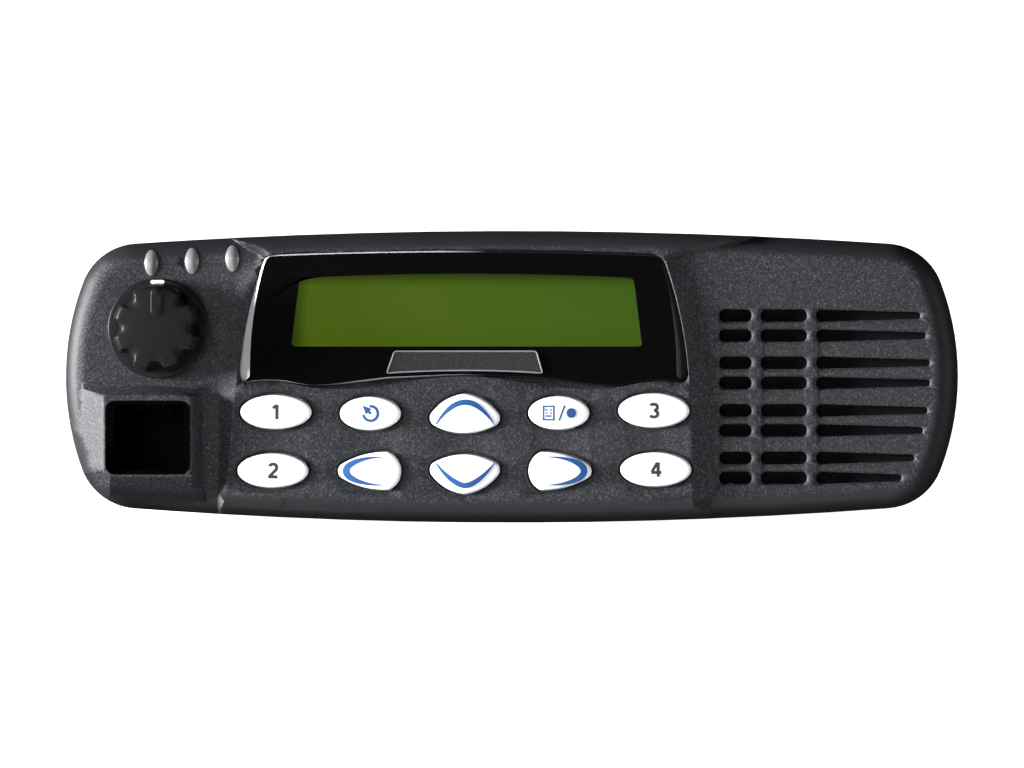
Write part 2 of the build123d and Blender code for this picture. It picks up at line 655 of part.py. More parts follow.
with BuildPart() as status_leds:
    for x, z in PIPES:
        block((x - 1.0, BOARD_Y - LED_THICK, z - 1.6), (x + 1.0, BOARD_Y, z + 0.4))
save(status_leds.part, "status_leds")

# ---------------------------------------------------------------- volume control
with BuildPart() as volume_knob:
    back = SIDE_Y - KNOB_GAP
    with BuildSketch(upright(back)) as skirt:
        with Locations((KNOB_X, KNOB_Z)):
            Circle(KNOB_R)
    extrude(skirt.sketch, amount=KNOB_SKIRT)
    with BuildSketch(upright(back - KNOB_SKIRT)) as grip_base:
        with Locations((KNOB_X, KNOB_Z)):
            Circle(KNOB_GRIP_R)
    with BuildSketch(upright(KNOB_Y + POINTER_PROUD)) as grip_top:
        with Locations((KNOB_X, KNOB_Z)):
            Circle(KNOB_FACE_R)
    loft([grip_base.sketch.faces()[0], grip_top.sketch.faces()[0]], ruled=True)
    fillet(volume_knob.faces().sort_by(Axis.Y)[0].edges(), 0.7)
    with BuildSketch(upright(back - KNOB_SKIRT)) as scallops:
        with Locations((KNOB_X, KNOB_Z)):
            with PolarLocations(SCALLOP_PITCH_R, SCALLOPS - 1, start_angle=135, angular_range=270, endpoint=True):
                Circle(SCALLOP_R)
    extrude(scallops.sketch, amount=KNOB_PROUD + 2, mode=Mode.SUBTRACT)
    with BuildSketch(upright(KNOB_Y + 1.0)) as pointer:
        with Locations((KNOB_X, KNOB_Z + POINTER_MID_R)):
            SlotOverall(POINTER[1], POINTER[0], rotation=90)
    extrude(pointer.sketch, amount=1.0)
    with BuildSketch(upright(back)) as hollow:
        with Locations((KNOB_X, KNOB_Z)):
            Circle(KNOB_HOLLOW_R)
            Circle(KNOB_HUB_R, mode=Mode.SUBTRACT)
    extrude(hollow.sketch, amount=KNOB_HOLLOW_DEPTH, mode=Mode.SUBTRACT)
    rod(KNOB_X, KNOB_Z, SHAFT_R, KNOB_Y + KNOB_CROWN, back + 1, mode=Mode.SUBTRACT)
save(volume_knob.part, "volume_knob")

CONTROL_BACK_Y = BOARD_BACK_Y + CONTROL_DEPTH
SHAFT_END_Y = CONTROL_BACK_Y - 2.0
with BuildPart() as volume_shaft:
    rod(KNOB_X, KNOB_Z, SHAFT_R, KNOB_Y + KNOB_CROWN, SHAFT_END_Y)
    chamfer(volume_shaft.faces().sort_by(Axis.Y)[-1].edges(), 0.4)
save(volume_shaft.part, "volume_shaft")

with BuildPart() as volume_control:
    half = CONTROL_SIZE / 2
    block((KNOB_X - half, BOARD_BACK_Y, KNOB_Z - half), (KNOB_X + half, CONTROL_BACK_Y, KNOB_Z + half))
    chamfer(volume_control.edges().filter_by(Axis.Y), 1.0)
    rod(KNOB_X, KNOB_Z, BUSHING_R, SIDE_Y, BOARD_BACK_Y)
    rod(KNOB_X, KNOB_Z, SHAFT_R + SHAFT_FIT, SIDE_Y - 1, SHAFT_END_Y + FIT, mode=Mode.SUBTRACT)
save(volume_control.part, "volume_control")

with BuildPart() as volume_nut:
    with BuildSketch(upright(BOARD_Y)) as nut:
        with Locations((KNOB_X, KNOB_Z)):
            RegularPolygon(NUT_ACROSS / 2, 6, major_radius=False)
            Circle(BUSHING_R, mode=Mode.SUBTRACT)
    extrude(nut.sketch, amount=NUT_THICK)
save(volume_nut.part, "volume_nut")

# ---------------------------------------------------------------- keypad
for name, (shape, x, z, size) in KEYS.items():
    lip_y = INNER_Y + FIT
    lip_back_y = lip_y + KEY_LIP_THICK
    with BuildPart() as key:
        extrude(key_profile(lip_y, shape, x, z, size), amount=lip_y - FRONT_Y + KEY_PROUD)
        fillet(key.faces().sort_by(Axis.Y)[0].edges(), 0.8)
        extrude(key_profile(lip_back_y, shape, x, z, size, KEY_LIP), amount=KEY_LIP_THICK)
        rod(x, z, PLUNGER_R, lip_back_y, BOARD_Y - CONTACT_THICK - KEY_TRAVEL - GAP)
    save(key.part, name)

with BuildPart() as keypad_mat:
    with BuildSketch(upright(BOARD_Y)) as mat:
        with Locations(((MAT_LEFT_X + MAT_RIGHT_X) / 2, (MAT_LOW_Z + MAT_HIGH_Z) / 2)):
            RectangleRounded(MAT_RIGHT_X - MAT_LEFT_X, MAT_HIGH_Z - MAT_LOW_Z, 2.0)
    extrude(mat.sketch, amount=MAT_THICK)
    for shape, x, z, size in KEYS.values():
        rod(x, z, PLUNGER_R + FIT, BOARD_Y - MAT_THICK - 1, BOARD_Y + 1, mode=Mode.SUBTRACT)
        rod(x, z, CONTACT_R + FIT, BOARD_Y - 1.2, BOARD_Y + 1, mode=Mode.SUBTRACT)
    for x, z in BOARD_POSTS[2:]:
        rod(x, z, BOARD_POST_R + FIT, BOARD_Y - MAT_THICK - 1, BOARD_Y + 1, mode=Mode.SUBTRACT)
save(keypad_mat.part, "keypad_mat")

with BuildPart() as key_contacts:
    for shape, x, z, size in KEYS.values():
        rod(x, z, CONTACT_R, BOARD_Y - CONTACT_THICK, BOARD_Y)
save(key_contacts.part, "key_contacts")

with BuildPart() as control_board:
    extrude(head_profile(BOARD_Y, WALL + FIT), amount=-BOARD_THICK)
    block((BOARD_RIGHT_X, BOARD_Y - 1, -1), (WIDTH, BOARD_BACK_Y + 1, HEIGHT + 1), mode=Mode.SUBTRACT)
    rod(KNOB_X, KNOB_Z, BUSHING_R + GAP, BOARD_Y - 1, BOARD_BACK_Y + 1, mode=Mode.SUBTRACT)
    block(
        (JACK_X - JACK_HALF_W - GAP, BOARD_Y - 1, JACK_Z - JACK_HALF_H - GAP),
        (JACK_X + JACK_HALF_W + GAP, BOARD_BACK_Y + 1, JACK_Z + JACK_HALF_H + GAP),
        mode=Mode.SUBTRACT,
    )
    for x, z in BOARD_POSTS:
        rod(x, z, SMALL_SCREW_R + GAP, BOARD_Y - 1, BOARD_BACK_Y + 1, mode=Mode.SUBTRACT)
save(control_board.part, "control_board")

with BuildPart() as control_board_screws:
    for x, z in BOARD_POSTS:
        rod(x, z, SMALL_SCREW_R, INNER_Y + 0.5, BOARD_BACK_Y)
        rod(x, z, SMALL_HEAD_R, BOARD_BACK_Y, BOARD_BACK_Y + SMALL_HEAD_H)
save(control_board_screws.part, "control_board_screws")

# ---------------------------------------------------------------- microphone socket
with BuildPart() as microphone_jack:
    block(
        (JACK_X - JACK_HALF_W, INNER_Y, JACK_Z - JACK_HALF_H),
        (JACK_X + JACK_HALF_W, INNER_Y + JACK_DEPTH, JACK_Z + JACK_HALF_H),
    )
    block(
        (JACK_X - JACK_HALF_W + JACK_WALL, INNER_Y - 1, JACK_Z - JACK_HALF_H + JACK_WALL),
        (JACK_X + JACK_HALF_W - JACK_WALL, INNER_Y + JACK_CAVITY_DEPTH, JACK_Z + JACK_HALF_H - JACK_WALL),
        mode=Mode.SUBTRACT,
    )
    # feet on the back of the control board
    for side in (-1, 1):
        x = JACK_X + side * (JACK_HALF_W + 1.2)
        block((x - 1.3, BOARD_BACK_Y, JACK_Z - 3), (x + 1.3, BOARD_BACK_Y + 1.5, JACK_Z + 3))
save(microphone_jack.part, "microphone_jack")

with BuildPart() as jack_contacts:
    for index in range(8):
        x = JACK_X + (index - 3.5) * 1.02
        high = JACK_Z + JACK_HALF_H - JACK_WALL
        block((x - 0.2, INNER_Y + JACK_CONTACT_Y, high - 1.2), (x + 0.2, INNER_Y + JACK_CAVITY_DEPTH, high))
save(jack_contacts.part, "jack_contacts")

# ---------------------------------------------------------------- speaker
RIM_Y = INNER_Y + CLOTH_THICK + GASKET_THICK
with BuildPart() as speaker_cloth:
    with BuildSketch(upright(INNER_Y + CLOTH_THICK)) as cloth:
        with Locations((SPEAKER_X, SPEAKER_Z)):
            Circle(SPEAKER_R + 3.0)
        with Locations(((CLOTH_LEFT_X + CLOTH_RIGHT_X) / 2, SPEAKER_Z)):
            Rectangle(CLOTH_RIGHT_X - CLOTH_LEFT_X, 2 * SPEAKER_R - 1.0)
        add(head_profile(INNER_Y + CLOTH_THICK, WALL + FIT), mode=Mode.INTERSECT)
        with Locations(CLIP_SPOTS):
            Circle(CLIP_POST_R + FIT, mode=Mode.SUBTRACT)
    extrude(cloth.sketch, amount=CLOTH_THICK)
save(speaker_cloth.part, "speaker_cloth")

with BuildPart() as speaker_gasket:
    rod(SPEAKER_X, SPEAKER_Z, SPEAKER_R, INNER_Y + CLOTH_THICK, RIM_Y)
    rod(SPEAKER_X, SPEAKER_Z, SPEAKER_R - SPEAKER_RIM, INNER_Y, RIM_Y + 1, mode=Mode.SUBTRACT)
save(speaker_gasket.part, "speaker_gasket")

BASKET_Y = RIM_Y + SPEAKER_DEPTH
CONE_R = SPEAKER_R - SPEAKER_RIM
SPEAKER_AXIS = Pos(SPEAKER_X, 0, SPEAKER_Z)
with BuildPart() as speaker_frame:
    with BuildSketch(Plane.XY) as basket:
        with BuildLine():
            Polyline(
                (CONE_R, RIM_Y),
                (SPEAKER_R, RIM_Y),
                (SPEAKER_R, RIM_Y + RIM_THICK),
                (CONE_R + 0.8, RIM_Y + RIM_THICK),
                (MAGNET_R - 1.0, BASKET_Y),
                (COIL_R + 0.8, BASKET_Y),
                (COIL_R + 0.8, BASKET_Y - RIM_THICK),
                (MAGNET_R - 2.2, BASKET_Y - RIM_THICK),
                (CONE_R - 0.5, RIM_Y + RIM_THICK),
                (CONE_R, RIM_Y),
            )
        make_face()
    revolve(axis=Axis.Y)
save(SPEAKER_AXIS * speaker_frame.part, "speaker_frame")

with BuildPart() as speaker_cone:
    with BuildSketch(Plane.XY) as cone:
        with BuildLine():
            Polyline(
                (0, RIM_Y + 6.4),
                (COIL_R, RIM_Y + 7.4),
                (CONE_R - 3.4, RIM_Y + 1.2),
                (CONE_R - 2.6, RIM_Y + 0.5),
                (CONE_R - 0.6, RIM_Y + 0.5),
                (CONE_R - 0.6, RIM_Y + 1.0),
                (CONE_R - 2.4, RIM_Y + 1.0),
                (COIL_R, RIM_Y + 8.4),
                (COIL_R, BASKET_Y - 1.0),
                (COIL_R - 0.5, BASKET_Y - 1.0),
                (COIL_R - 0.5, RIM_Y + 7.9),
                (0, RIM_Y + 6.9),
                close=True,
            )
        make_face()
    revolve(axis=Axis.Y)
save(SPEAKER_AXIS * speaker_cone.part, "speaker_cone")

with BuildPart() as speaker_magnet:
    with BuildSketch(upright(BASKET_Y)) as magnet:
        with Locations((SPEAKER_X, SPEAKER_Z)):
            Circle(MAGNET_R)
    extrude(magnet.sketch, amount=-MAGNET_THICK)
    fillet(speaker_magnet.faces().sort_by(Axis.Y)[-1].edges(), 0.8)
save(speaker_magnet.part, "speaker_magnet")

with BuildPart() as speaker_clips:
    for x, z in CLIP_SPOTS:
        inward = Vector(SPEAKER_X - x, SPEAKER_Z - z)
        reach = inward.length - SPEAKER_R + CLIP_GRIP
        middle = Vector(x, z) + inward.normalized() * (reach - CLIP_WIDTH / 2) / 2
        with BuildSketch(upright(CLIP_Y)) as clip:
            with Locations((middle.X, middle.Y)):
                SlotOverall(reach + CLIP_WIDTH / 2, CLIP_WIDTH, rotation=math.degrees(math.atan2(inward.Y, inward.X)))
            with Locations((x, z)):
                Circle(SMALL_SCREW_R + GAP, mode=Mode.SUBTRACT)
        extrude(clip.sketch, amount=-CLIP_THICK)
save(speaker_clips.part, "speaker_clips")

with BuildPart() as speaker_clip_screws:
    for x, z in CLIP_SPOTS:
        rod(x, z, SMALL_SCREW_R, INNER_Y + 0.5, CLIP_Y + CLIP_THICK)
        rod(x, z, SMALL_HEAD_R, CLIP_Y + CLIP_THICK, CLIP_Y + CLIP_THICK + SMALL_HEAD_H)
save(speaker_clip_screws.part, "speaker_clip_screws")

# ---------------------------------------------------------------- link between head and chassis
MAIN_LINK_Y = TRAY_Y + 8.0
with BuildPart() as head_link_socket:
    block(
        (LINK_X - LINK_HALF, BOARD_BACK_Y, LINK_Z - 2.5),
        (LINK_X + LINK_HALF, BOARD_BACK_Y + LINK_DEPTH, LINK_Z + 2.5),
    )
save(head_link_socket.part, "head_link_socket")

with BuildPart() as board_link_socket:
    block((LINK_X - LINK_HALF, MAIN_LINK_Y, MAIN_BOARD_TOP), (LINK_X + LINK_HALF, MAIN_LINK_Y + 5, LINK_Z + 2.5))
save(board_link_socket.part, "board_link_socket")

with BuildPart() as flex_ribbon:
    block(
        (LINK_X - LINK_HALF + 2, BOARD_BACK_Y + LINK_DEPTH, LINK_Z - 0.15),
        (LINK_X + LINK_HALF - 2, MAIN_LINK_Y, LINK_Z + 0.15),
    )
save(flex_ribbon.part, "flex_ribbon")

with BuildPart() as head_seal:
    extrude(head_profile(HEAD_BACK_Y, SEAL_INSET), amount=-SEAL_THICK)
    extrude(head_profile(HEAD_BACK_Y - 1, WALL - 0.1), amount=-(SEAL_THICK + 2), mode=Mode.SUBTRACT)
save(head_seal.part, "head_seal")

# ================================================================ chassis
REAR_CUTS = (
    (POWER_X, POWER_Z, POWER_SIZE),
    (ACCESSORY_X, ACCESSORY_Z, ACCESSORY_SIZE),
)
with BuildPart() as chassis:
    extrude(head_profile(FLANGE_Y, FLANGE_INSET), amount=-FLANGE_THICK)
    block((-CHASSIS_HALF, TRAY_Y, FIN_HEIGHT), (CHASSIS_HALF, CHASSIS_BACK_Y, WALL_TOP_Z))
    corners = chassis.edges().filter_by(Axis.Z).sort_by(Axis.Y)[-2:]
    fillet(corners, CHASSIS_CORNER_R)
    block(
        (-CHASSIS_HALF + CHASSIS_WALL, TRAY_Y, FLOOR_Z),
        (CHASSIS_HALF - CHASSIS_WALL, REAR_INNER_Y, WALL_TOP_Z + 1),
        mode=Mode.SUBTRACT,
    )
    # cooling fins under the floor, and on the back between the sockets
    for index in range(FIN_COUNT):
        x = (index - (FIN_COUNT - 1) / 2) * FIN_PITCH
        foot_z = BOTTOM_CROWN * (x / (WIDTH / 2 - SIDE_BULGE)) ** 2 if abs(x) > STAND_HALF else 0
        block((x - FIN_THICK / 2, TRAY_Y, foot_z), (x + FIN_THICK / 2, CHASSIS_BACK_Y - FIN_SETBACK, FIN_HEIGHT + 0.5))
    for x in REAR_FIN_SPOTS:
        block(
            (x - FIN_THICK / 2, CHASSIS_BACK_Y - 0.5, FIN_HEIGHT + 1),
            (x + FIN_THICK / 2, CHASSIS_BACK_Y + REAR_FIN_DEPTH, WALL_TOP_Z - 1),
        )
    # posts for the cover screws and standoffs for the main board
    for x, y in COVER_POSTS:
        post(x, y, COVER_POST_R, FLOOR_Z - 0.5, WALL_TOP_Z)
        post(x, y, COVER_SCREW_R, WALL_TOP_Z - COVER_SCREW_LENGTH, WALL_TOP_Z + 1, mode=Mode.SUBTRACT)
    for x, y in STANDOFFS:
        post(x, y, STANDOFF_R, FLOOR_Z - 0.5, MAIN_BOARD_Z)
        post(x, y, BOARD_SCREW_R, FLOOR_Z, MAIN_BOARD_Z + 1, mode=Mode.SUBTRACT)
    # raised pad under the power amplifier
    block(
        (AMP_X - AMP_SIZE[0] / 2, AMP_Y - AMP_SIZE[1] / 2, FLOOR_Z - 0.5),
        (AMP_X + AMP_SIZE[0] / 2, AMP_Y + AMP_SIZE[1] / 2, AMP_Z),
    )
    # threaded bosses on both sides for a mounting bracket
    for side in (-1, 1):
        for y in (SIDE_HOLE_Y - SIDE_HOLE_SPACING / 2, SIDE_HOLE_Y + SIDE_HOLE_SPACING / 2):
            middle = CHASSIS_HALF - SIDE_HOLE_DEPTH / 2 - 0.5
            with Locations(Location((side * middle, y, SIDE_HOLE_Z), (0, 90, 0))):
                Cylinder(SIDE_BOSS_R, SIDE_HOLE_DEPTH + 1.0)
            with Locations(Location((side * (CHASSIS_HALF - SIDE_HOLE_DEPTH / 2 + 0.5), y, SIDE_HOLE_Z), (0, 90, 0))):
                Cylinder(SIDE_HOLE_R, SIDE_HOLE_DEPTH + 1.0, mode=Mode.SUBTRACT)
    # openings in the back wall and for the ribbon, holes for the joining screws
    for x, z, size in REAR_CUTS:
        block(
            (x - size[0] / 2 - GAP, REAR_INNER_Y - 1, z - size[1] / 2 - GAP),
            (x + size[0] / 2 + GAP, CHASSIS_BACK_Y + 1, z + size[1] / 2 + GAP),
            mode=Mode.SUBTRACT,
        )
    rod(ANTENNA_X, ANTENNA_Z, ANTENNA_BODY_R + GAP, REAR_INNER_Y - 1, CHASSIS_BACK_Y + 1, mode=Mode.SUBTRACT)
    block(
        (LINK_X - LINK_HALF, FLANGE_Y - 1, LINK_Z - 5),
        (LINK_X + LINK_HALF, TRAY_Y + 1, LINK_Z + 5),
        mode=Mode.SUBTRACT,
    )
    for x, z in HEAD_POSTS:
        rod(x, z, HEAD_SCREW_R + GAP, FLANGE_Y - 1, TRAY_Y + 1, mode=Mode.SUBTRACT)
save(chassis.part, "chassis")

with BuildPart() as head_screws:
    for x, z in HEAD_POSTS:
        rod(x, z, HEAD_SCREW_R, HEAD_BACK_Y - HEAD_POST_LENGTH + 3, TRAY_Y)
        rod(x, z, HEAD_SCREW_R + 1.3, TRAY_Y, TRAY_Y + 1.8)
save(head_screws.part, "head_screws")

with BuildPart() as cover_seal:
    with BuildSketch(Plane.XY.offset(WALL_TOP_Z)) as seal_profile:
        with Locations((0, TRAY_MID_Y)):
            Rectangle(2 * CHASSIS_HALF - 1.0, TRAY_LENGTH - 1.0)
        fillet(seal_profile.vertices().group_by(Axis.Y)[-1], CHASSIS_CORNER_R)
        with Locations((0, TRAY_MID_Y)):
            Rectangle(2 * (CHASSIS_HALF - CHASSIS_WALL), TRAY_LENGTH - 2 * CHASSIS_WALL, mode=Mode.SUBTRACT)
        with Locations(COVER_POSTS):
            Circle(COVER_SCREW_R + 1.2, mode=Mode.SUBTRACT)
    extrude(seal_profile.sketch, amount=COVER_SEAL_THICK)
save(cover_seal.part, "cover_seal")

with BuildPart() as top_cover:
    with BuildSketch(Plane.XY.offset(COVER_Z)) as cover_profile:
        with Locations((0, TRAY_MID_Y)):
            Rectangle(2 * CHASSIS_HALF, TRAY_LENGTH)
        fillet(cover_profile.vertices().group_by(Axis.Y)[-1], CHASSIS_CORNER_R)
    extrude(cover_profile.sketch, amount=COVER_THICK)
    fillet(top_cover.faces().sort_by(Axis.Z)[-1].edges(), 0.8)
    with BuildSketch(Plane.XY.offset(COVER_Z + COVER_THICK)) as grooves:
        with GridLocations(0, COVER_GROOVE_PITCH, 1, COVER_GROOVES):
            SlotOverall(COVER_GROOVE_LENGTH, COVER_GROOVE_WIDTH)
    extrude(Pos(0, TRAY_MID_Y, 0) * grooves.sketch, amount=-COVER_GROOVE_DEPTH, mode=Mode.SUBTRACT)
    for x, y in COVER_POSTS:
        post(x, y, COVER_SCREW_R + GAP, COVER_Z - 1, COVER_Z + COVER_THICK + 1, mode=Mode.SUBTRACT)
save(top_cover.part, "top_cover")

with BuildPart() as cover_screws:
    for x, y in COVER_POSTS:
        post(x, y, COVER_SCREW_R, WALL_TOP_Z - COVER_SCREW_LENGTH + 1, COVER_Z + COVER_THICK)
        post(x, y, COVER_HEAD_R, COVER_Z + COVER_THICK, COVER_Z + COVER_THICK + 1.6)
        block(
            (x - 1.9, y - 0.35, COVER_Z + COVER_THICK + 0.8),
            (x + 1.9, y + 0.35, COVER_Z + COVER_THICK + 2),
            mode=Mode.SUBTRACT,
        )
        block(
            (x - 0.35, y - 1.9, COVER_Z + COVER_THICK + 0.8),
            (x + 0.35, y + 1.9, COVER_Z + COVER_THICK + 2),
            mode=Mode.SUBTRACT,
        )
save(cover_screws.part, "cover_screws")

# ---------------------------------------------------------------- main board and its parts
with BuildPart() as main_board:
    block((-BOARD_HALF, TRAY_Y + 2, MAIN_BOARD_Z), (BOARD_HALF, REAR_INNER_Y - 1, MAIN_BOARD_TOP))
    block(
        (AMP_X - AMP_SIZE[0] / 2 - 1, AMP_Y - AMP_SIZE[1] / 2 - 1, MAIN_BOARD_Z - 1),
        (AMP_X + AMP_SIZE[0] / 2 + 1, AMP_Y + AMP_SIZE[1] / 2 + 1, MAIN_BOARD_TOP + 1),
        mode=Mode.SUBTRACT,
    )
    for x, y in STANDOFFS:
        post(x, y, BOARD_SCREW_R + GAP, MAIN_BOARD_Z - 1, MAIN_BOARD_TOP + 1, mode=Mode.SUBTRACT)
save(main_board.part, "main_board")

with BuildPart() as main_board_screws:
    for x, y in STANDOFFS:
        post(x, y, BOARD_SCREW_R, FLOOR_Z + 1, MAIN_BOARD_TOP)
        post(x, y, BOARD_SCREW_R + 1.4, MAIN_BOARD_TOP, MAIN_BOARD_TOP + 1.8)
save(main_board_screws.part, "main_board_screws")

with BuildPart() as power_amplifier:
    block(
        (AMP_X - AMP_SIZE[0] / 2, AMP_Y - AMP_SIZE[1] / 2, AMP_Z),
        (AMP_X + AMP_SIZE[0] / 2, AMP_Y + AMP_SIZE[1] / 2, AMP_Z + AMP_SIZE[2]),
    )
    chamfer(power_amplifier.faces().sort_by(Axis.Z)[-1].edges(), 0.6)
save(power_amplifier.part, "power_amplifier")

with BuildPart() as shield_cans:
    for x, y, length, width, height in SHIELDS:
        block((x - length / 2, y - width / 2, MAIN_BOARD_TOP), (x + length / 2, y + width / 2, MAIN_BOARD_TOP + height))
    fillet(shield_cans.edges().filter_by(Axis.Z), 1.0)
    for x, y, length, width, height in SHIELDS:
        block(
            (x - length / 2 + 0.4, y - width / 2 + 0.4, MAIN_BOARD_TOP - 1),
            (x + length / 2 - 0.4, y + width / 2 - 0.4, MAIN_BOARD_TOP + height - 0.4),
            mode=Mode.SUBTRACT,
        )
save(shield_cans.part, "shield_cans")

with BuildPart() as logic_chips:
    for x, y, length, width in CHIPS:
        block((x - length / 2, y - width / 2, MAIN_BOARD_TOP), (x + length / 2, y + width / 2, MAIN_BOARD_TOP + 1.6))
save(logic_chips.part, "logic_chips")

with BuildPart() as filter_capacitors:
    for x, y, radius, height in CAPACITORS:
        post(x, y, radius, MAIN_BOARD_TOP, MAIN_BOARD_TOP + height)
    fillet(filter_capacitors.faces().group_by(Axis.Z)[-1].edges(), 0.6)
save(filter_capacitors.part, "filter_capacitors")

with BuildPart() as filter_coils:
    for x, y in COILS:
        post(x, y, COIL_CORE_R, MAIN_BOARD_TOP, MAIN_BOARD_TOP + 6.0)
        post(x, y, COIL_CORE_R - 3.0, MAIN_BOARD_TOP + 2.0, MAIN_BOARD_TOP + 7.0, mode=Mode.SUBTRACT)
save(filter_coils.part, "filter_coils")

with BuildPart() as reference_crystal:
    x, y = CRYSTAL
    block((x - 5.5, y - 2.3, MAIN_BOARD_TOP), (x + 5.5, y + 2.3, MAIN_BOARD_TOP + 3.6))
    fillet(reference_crystal.edges().filter_by(Axis.Z), 2.0)
save(reference_crystal.part, "reference_crystal")

# ---------------------------------------------------------------- rear sockets
with BuildPart() as antenna_socket:
    with BuildSketch(upright(CHASSIS_BACK_Y + 2.0)) as antenna_flange:
        with Locations((ANTENNA_X, ANTENNA_Z)):
            RegularPolygon(ANTENNA_BODY_R + 1.6, 6, major_radius=False)
    extrude(antenna_flange.sketch, amount=2.0)
    rod(ANTENNA_X, ANTENNA_Z, ANTENNA_BODY_R, ANTENNA_INSIDE_Y, CHASSIS_BACK_Y)
    rod(ANTENNA_X, ANTENNA_Z, ANTENNA_R, CHASSIS_BACK_Y, BACK_Y)
    chamfer(antenna_socket.faces().sort_by(Axis.Y)[-1].edges(), 0.5)
    rod(ANTENNA_X, ANTENNA_Z, INSULATOR_R, ANTENNA_INSIDE_Y - 1, BACK_Y + 1, mode=Mode.SUBTRACT)
save(antenna_socket.part, "antenna_socket")

with BuildPart() as antenna_insulator:
    rod(ANTENNA_X, ANTENNA_Z, INSULATOR_R, ANTENNA_INSIDE_Y, BACK_Y - 2.0)
    rod(ANTENNA_X, ANTENNA_Z, CONTACT_TUBE_R, ANTENNA_INSIDE_Y - 1, BACK_Y, mode=Mode.SUBTRACT)
save(antenna_insulator.part, "antenna_insulator")

with BuildPart() as antenna_contact:
    rod(ANTENNA_X, ANTENNA_Z, CONTACT_TUBE_R, ANTENNA_INSIDE_Y - 3.0, BACK_Y - 1.2)
    rod(ANTENNA_X, ANTENNA_Z, CONTACT_TUBE_R - 0.5, BACK_Y - 6.0, BACK_Y, mode=Mode.SUBTRACT)
save(antenna_contact.part, "antenna_contact")

with BuildPart() as antenna_nut:
    with BuildSketch(upright(REAR_INNER_Y)) as antenna_nut_profile:
        with Locations((ANTENNA_X, ANTENNA_Z)):
            RegularPolygon(ANTENNA_BODY_R + 1.4, 6, major_radius=False)
            Circle(ANTENNA_BODY_R, mode=Mode.SUBTRACT)
    extrude(antenna_nut_profile.sketch, amount=2.4)
save(antenna_nut.part, "antenna_nut")


def socket_body(x, z, size):
    """Shrouded rear socket: open at the back, flanged on the rear wall, seated on the main board."""
    half_w = size[0] / 2
    half_h = size[1] / 2
    with BuildPart() as socket:
        block((x - half_w, REAR_INNER_Y, z - half_h), (x + half_w, CHASSIS_BACK_Y + SOCKET_PROUD, z + half_h))
        block((x - half_w - 2, CHASSIS_BACK_Y, z - half_h - 2), (x + half_w + 2, CHASSIS_BACK_Y + 1.4, z + half_h + 2))
        block((x - half_w, REAR_INNER_Y - SOCKET_INSIDE, MAIN_BOARD_TOP), (x + half_w, REAR_INNER_Y, z + half_h))
        block(
            (x - half_w + SOCKET_WALL, REAR_INNER_Y, z - half_h + SOCKET_WALL),
            (x + half_w - SOCKET_WALL, CHASSIS_BACK_Y + SOCKET_PROUD + 1, z + half_h - SOCKET_WALL),
            mode=Mode.SUBTRACT,
        )
    return socket.part


def socket_pins(x, z, columns, rows, pitch, size):
    """Grid of flat pins that stand on the floor of a rear socket."""
    with BuildPart() as pins:
        for column in range(columns):
            for row in range(rows):
                pin_x = x + (column - (columns - 1) / 2) * pitch
                pin_z = z + (row - (rows - 1) / 2) * pitch
                block(
                    (pin_x - size[0] / 2, REAR_INNER_Y, pin_z - size[1] / 2),
                    (pin_x + size[0] / 2, CHASSIS_BACK_Y - PIN_RECESS, pin_z + size[1] / 2),
                )
    return pins.part


save(socket_body(POWER_X, POWER_Z, POWER_SIZE), "power_socket")
save(socket_pins(POWER_X, POWER_Z, 2, 1, 8.0, (1.2, 5.0)), "power_pins")
save(socket_body(ACCESSORY_X, ACCESSORY_Z, ACCESSORY_SIZE), "accessory_socket")
save(socket_pins(ACCESSORY_X, ACCESSORY_Z, 10, 2, 2.54, (0.64, 0.64)), "accessory_pins")
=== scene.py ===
import json
import math
import bmesh
import bpy
import numpy as np
from bpy.props import FloatProperty, FloatVectorProperty, IntProperty, PointerProperty
from bpy.types import Operator, Panel, PropertyGroup
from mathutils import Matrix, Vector


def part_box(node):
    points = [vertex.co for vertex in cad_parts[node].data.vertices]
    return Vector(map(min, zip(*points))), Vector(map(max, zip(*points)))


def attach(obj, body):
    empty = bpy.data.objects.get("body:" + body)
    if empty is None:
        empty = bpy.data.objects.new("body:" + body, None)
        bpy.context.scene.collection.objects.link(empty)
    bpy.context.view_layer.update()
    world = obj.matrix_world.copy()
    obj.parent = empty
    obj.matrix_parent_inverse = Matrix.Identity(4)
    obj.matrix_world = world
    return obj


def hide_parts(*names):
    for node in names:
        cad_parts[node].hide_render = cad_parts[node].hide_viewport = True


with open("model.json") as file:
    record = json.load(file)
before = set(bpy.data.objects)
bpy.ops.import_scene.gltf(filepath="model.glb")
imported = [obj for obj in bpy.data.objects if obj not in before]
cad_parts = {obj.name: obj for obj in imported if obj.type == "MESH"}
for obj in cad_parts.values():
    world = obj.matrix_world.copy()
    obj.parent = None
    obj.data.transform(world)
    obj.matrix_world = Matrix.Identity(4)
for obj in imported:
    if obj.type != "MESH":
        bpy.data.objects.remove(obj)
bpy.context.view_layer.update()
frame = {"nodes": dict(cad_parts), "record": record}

bl_info = {
    "name": "Vehicle radio finish",
    "version": (1, 0, 0),
    "blender": (4, 5, 0),
    "location": "View3D > Sidebar > Radio",
    "description": "Finishes, key caps, legends, knob and display of a two-way mobile radio",
    "category": "Object",
}

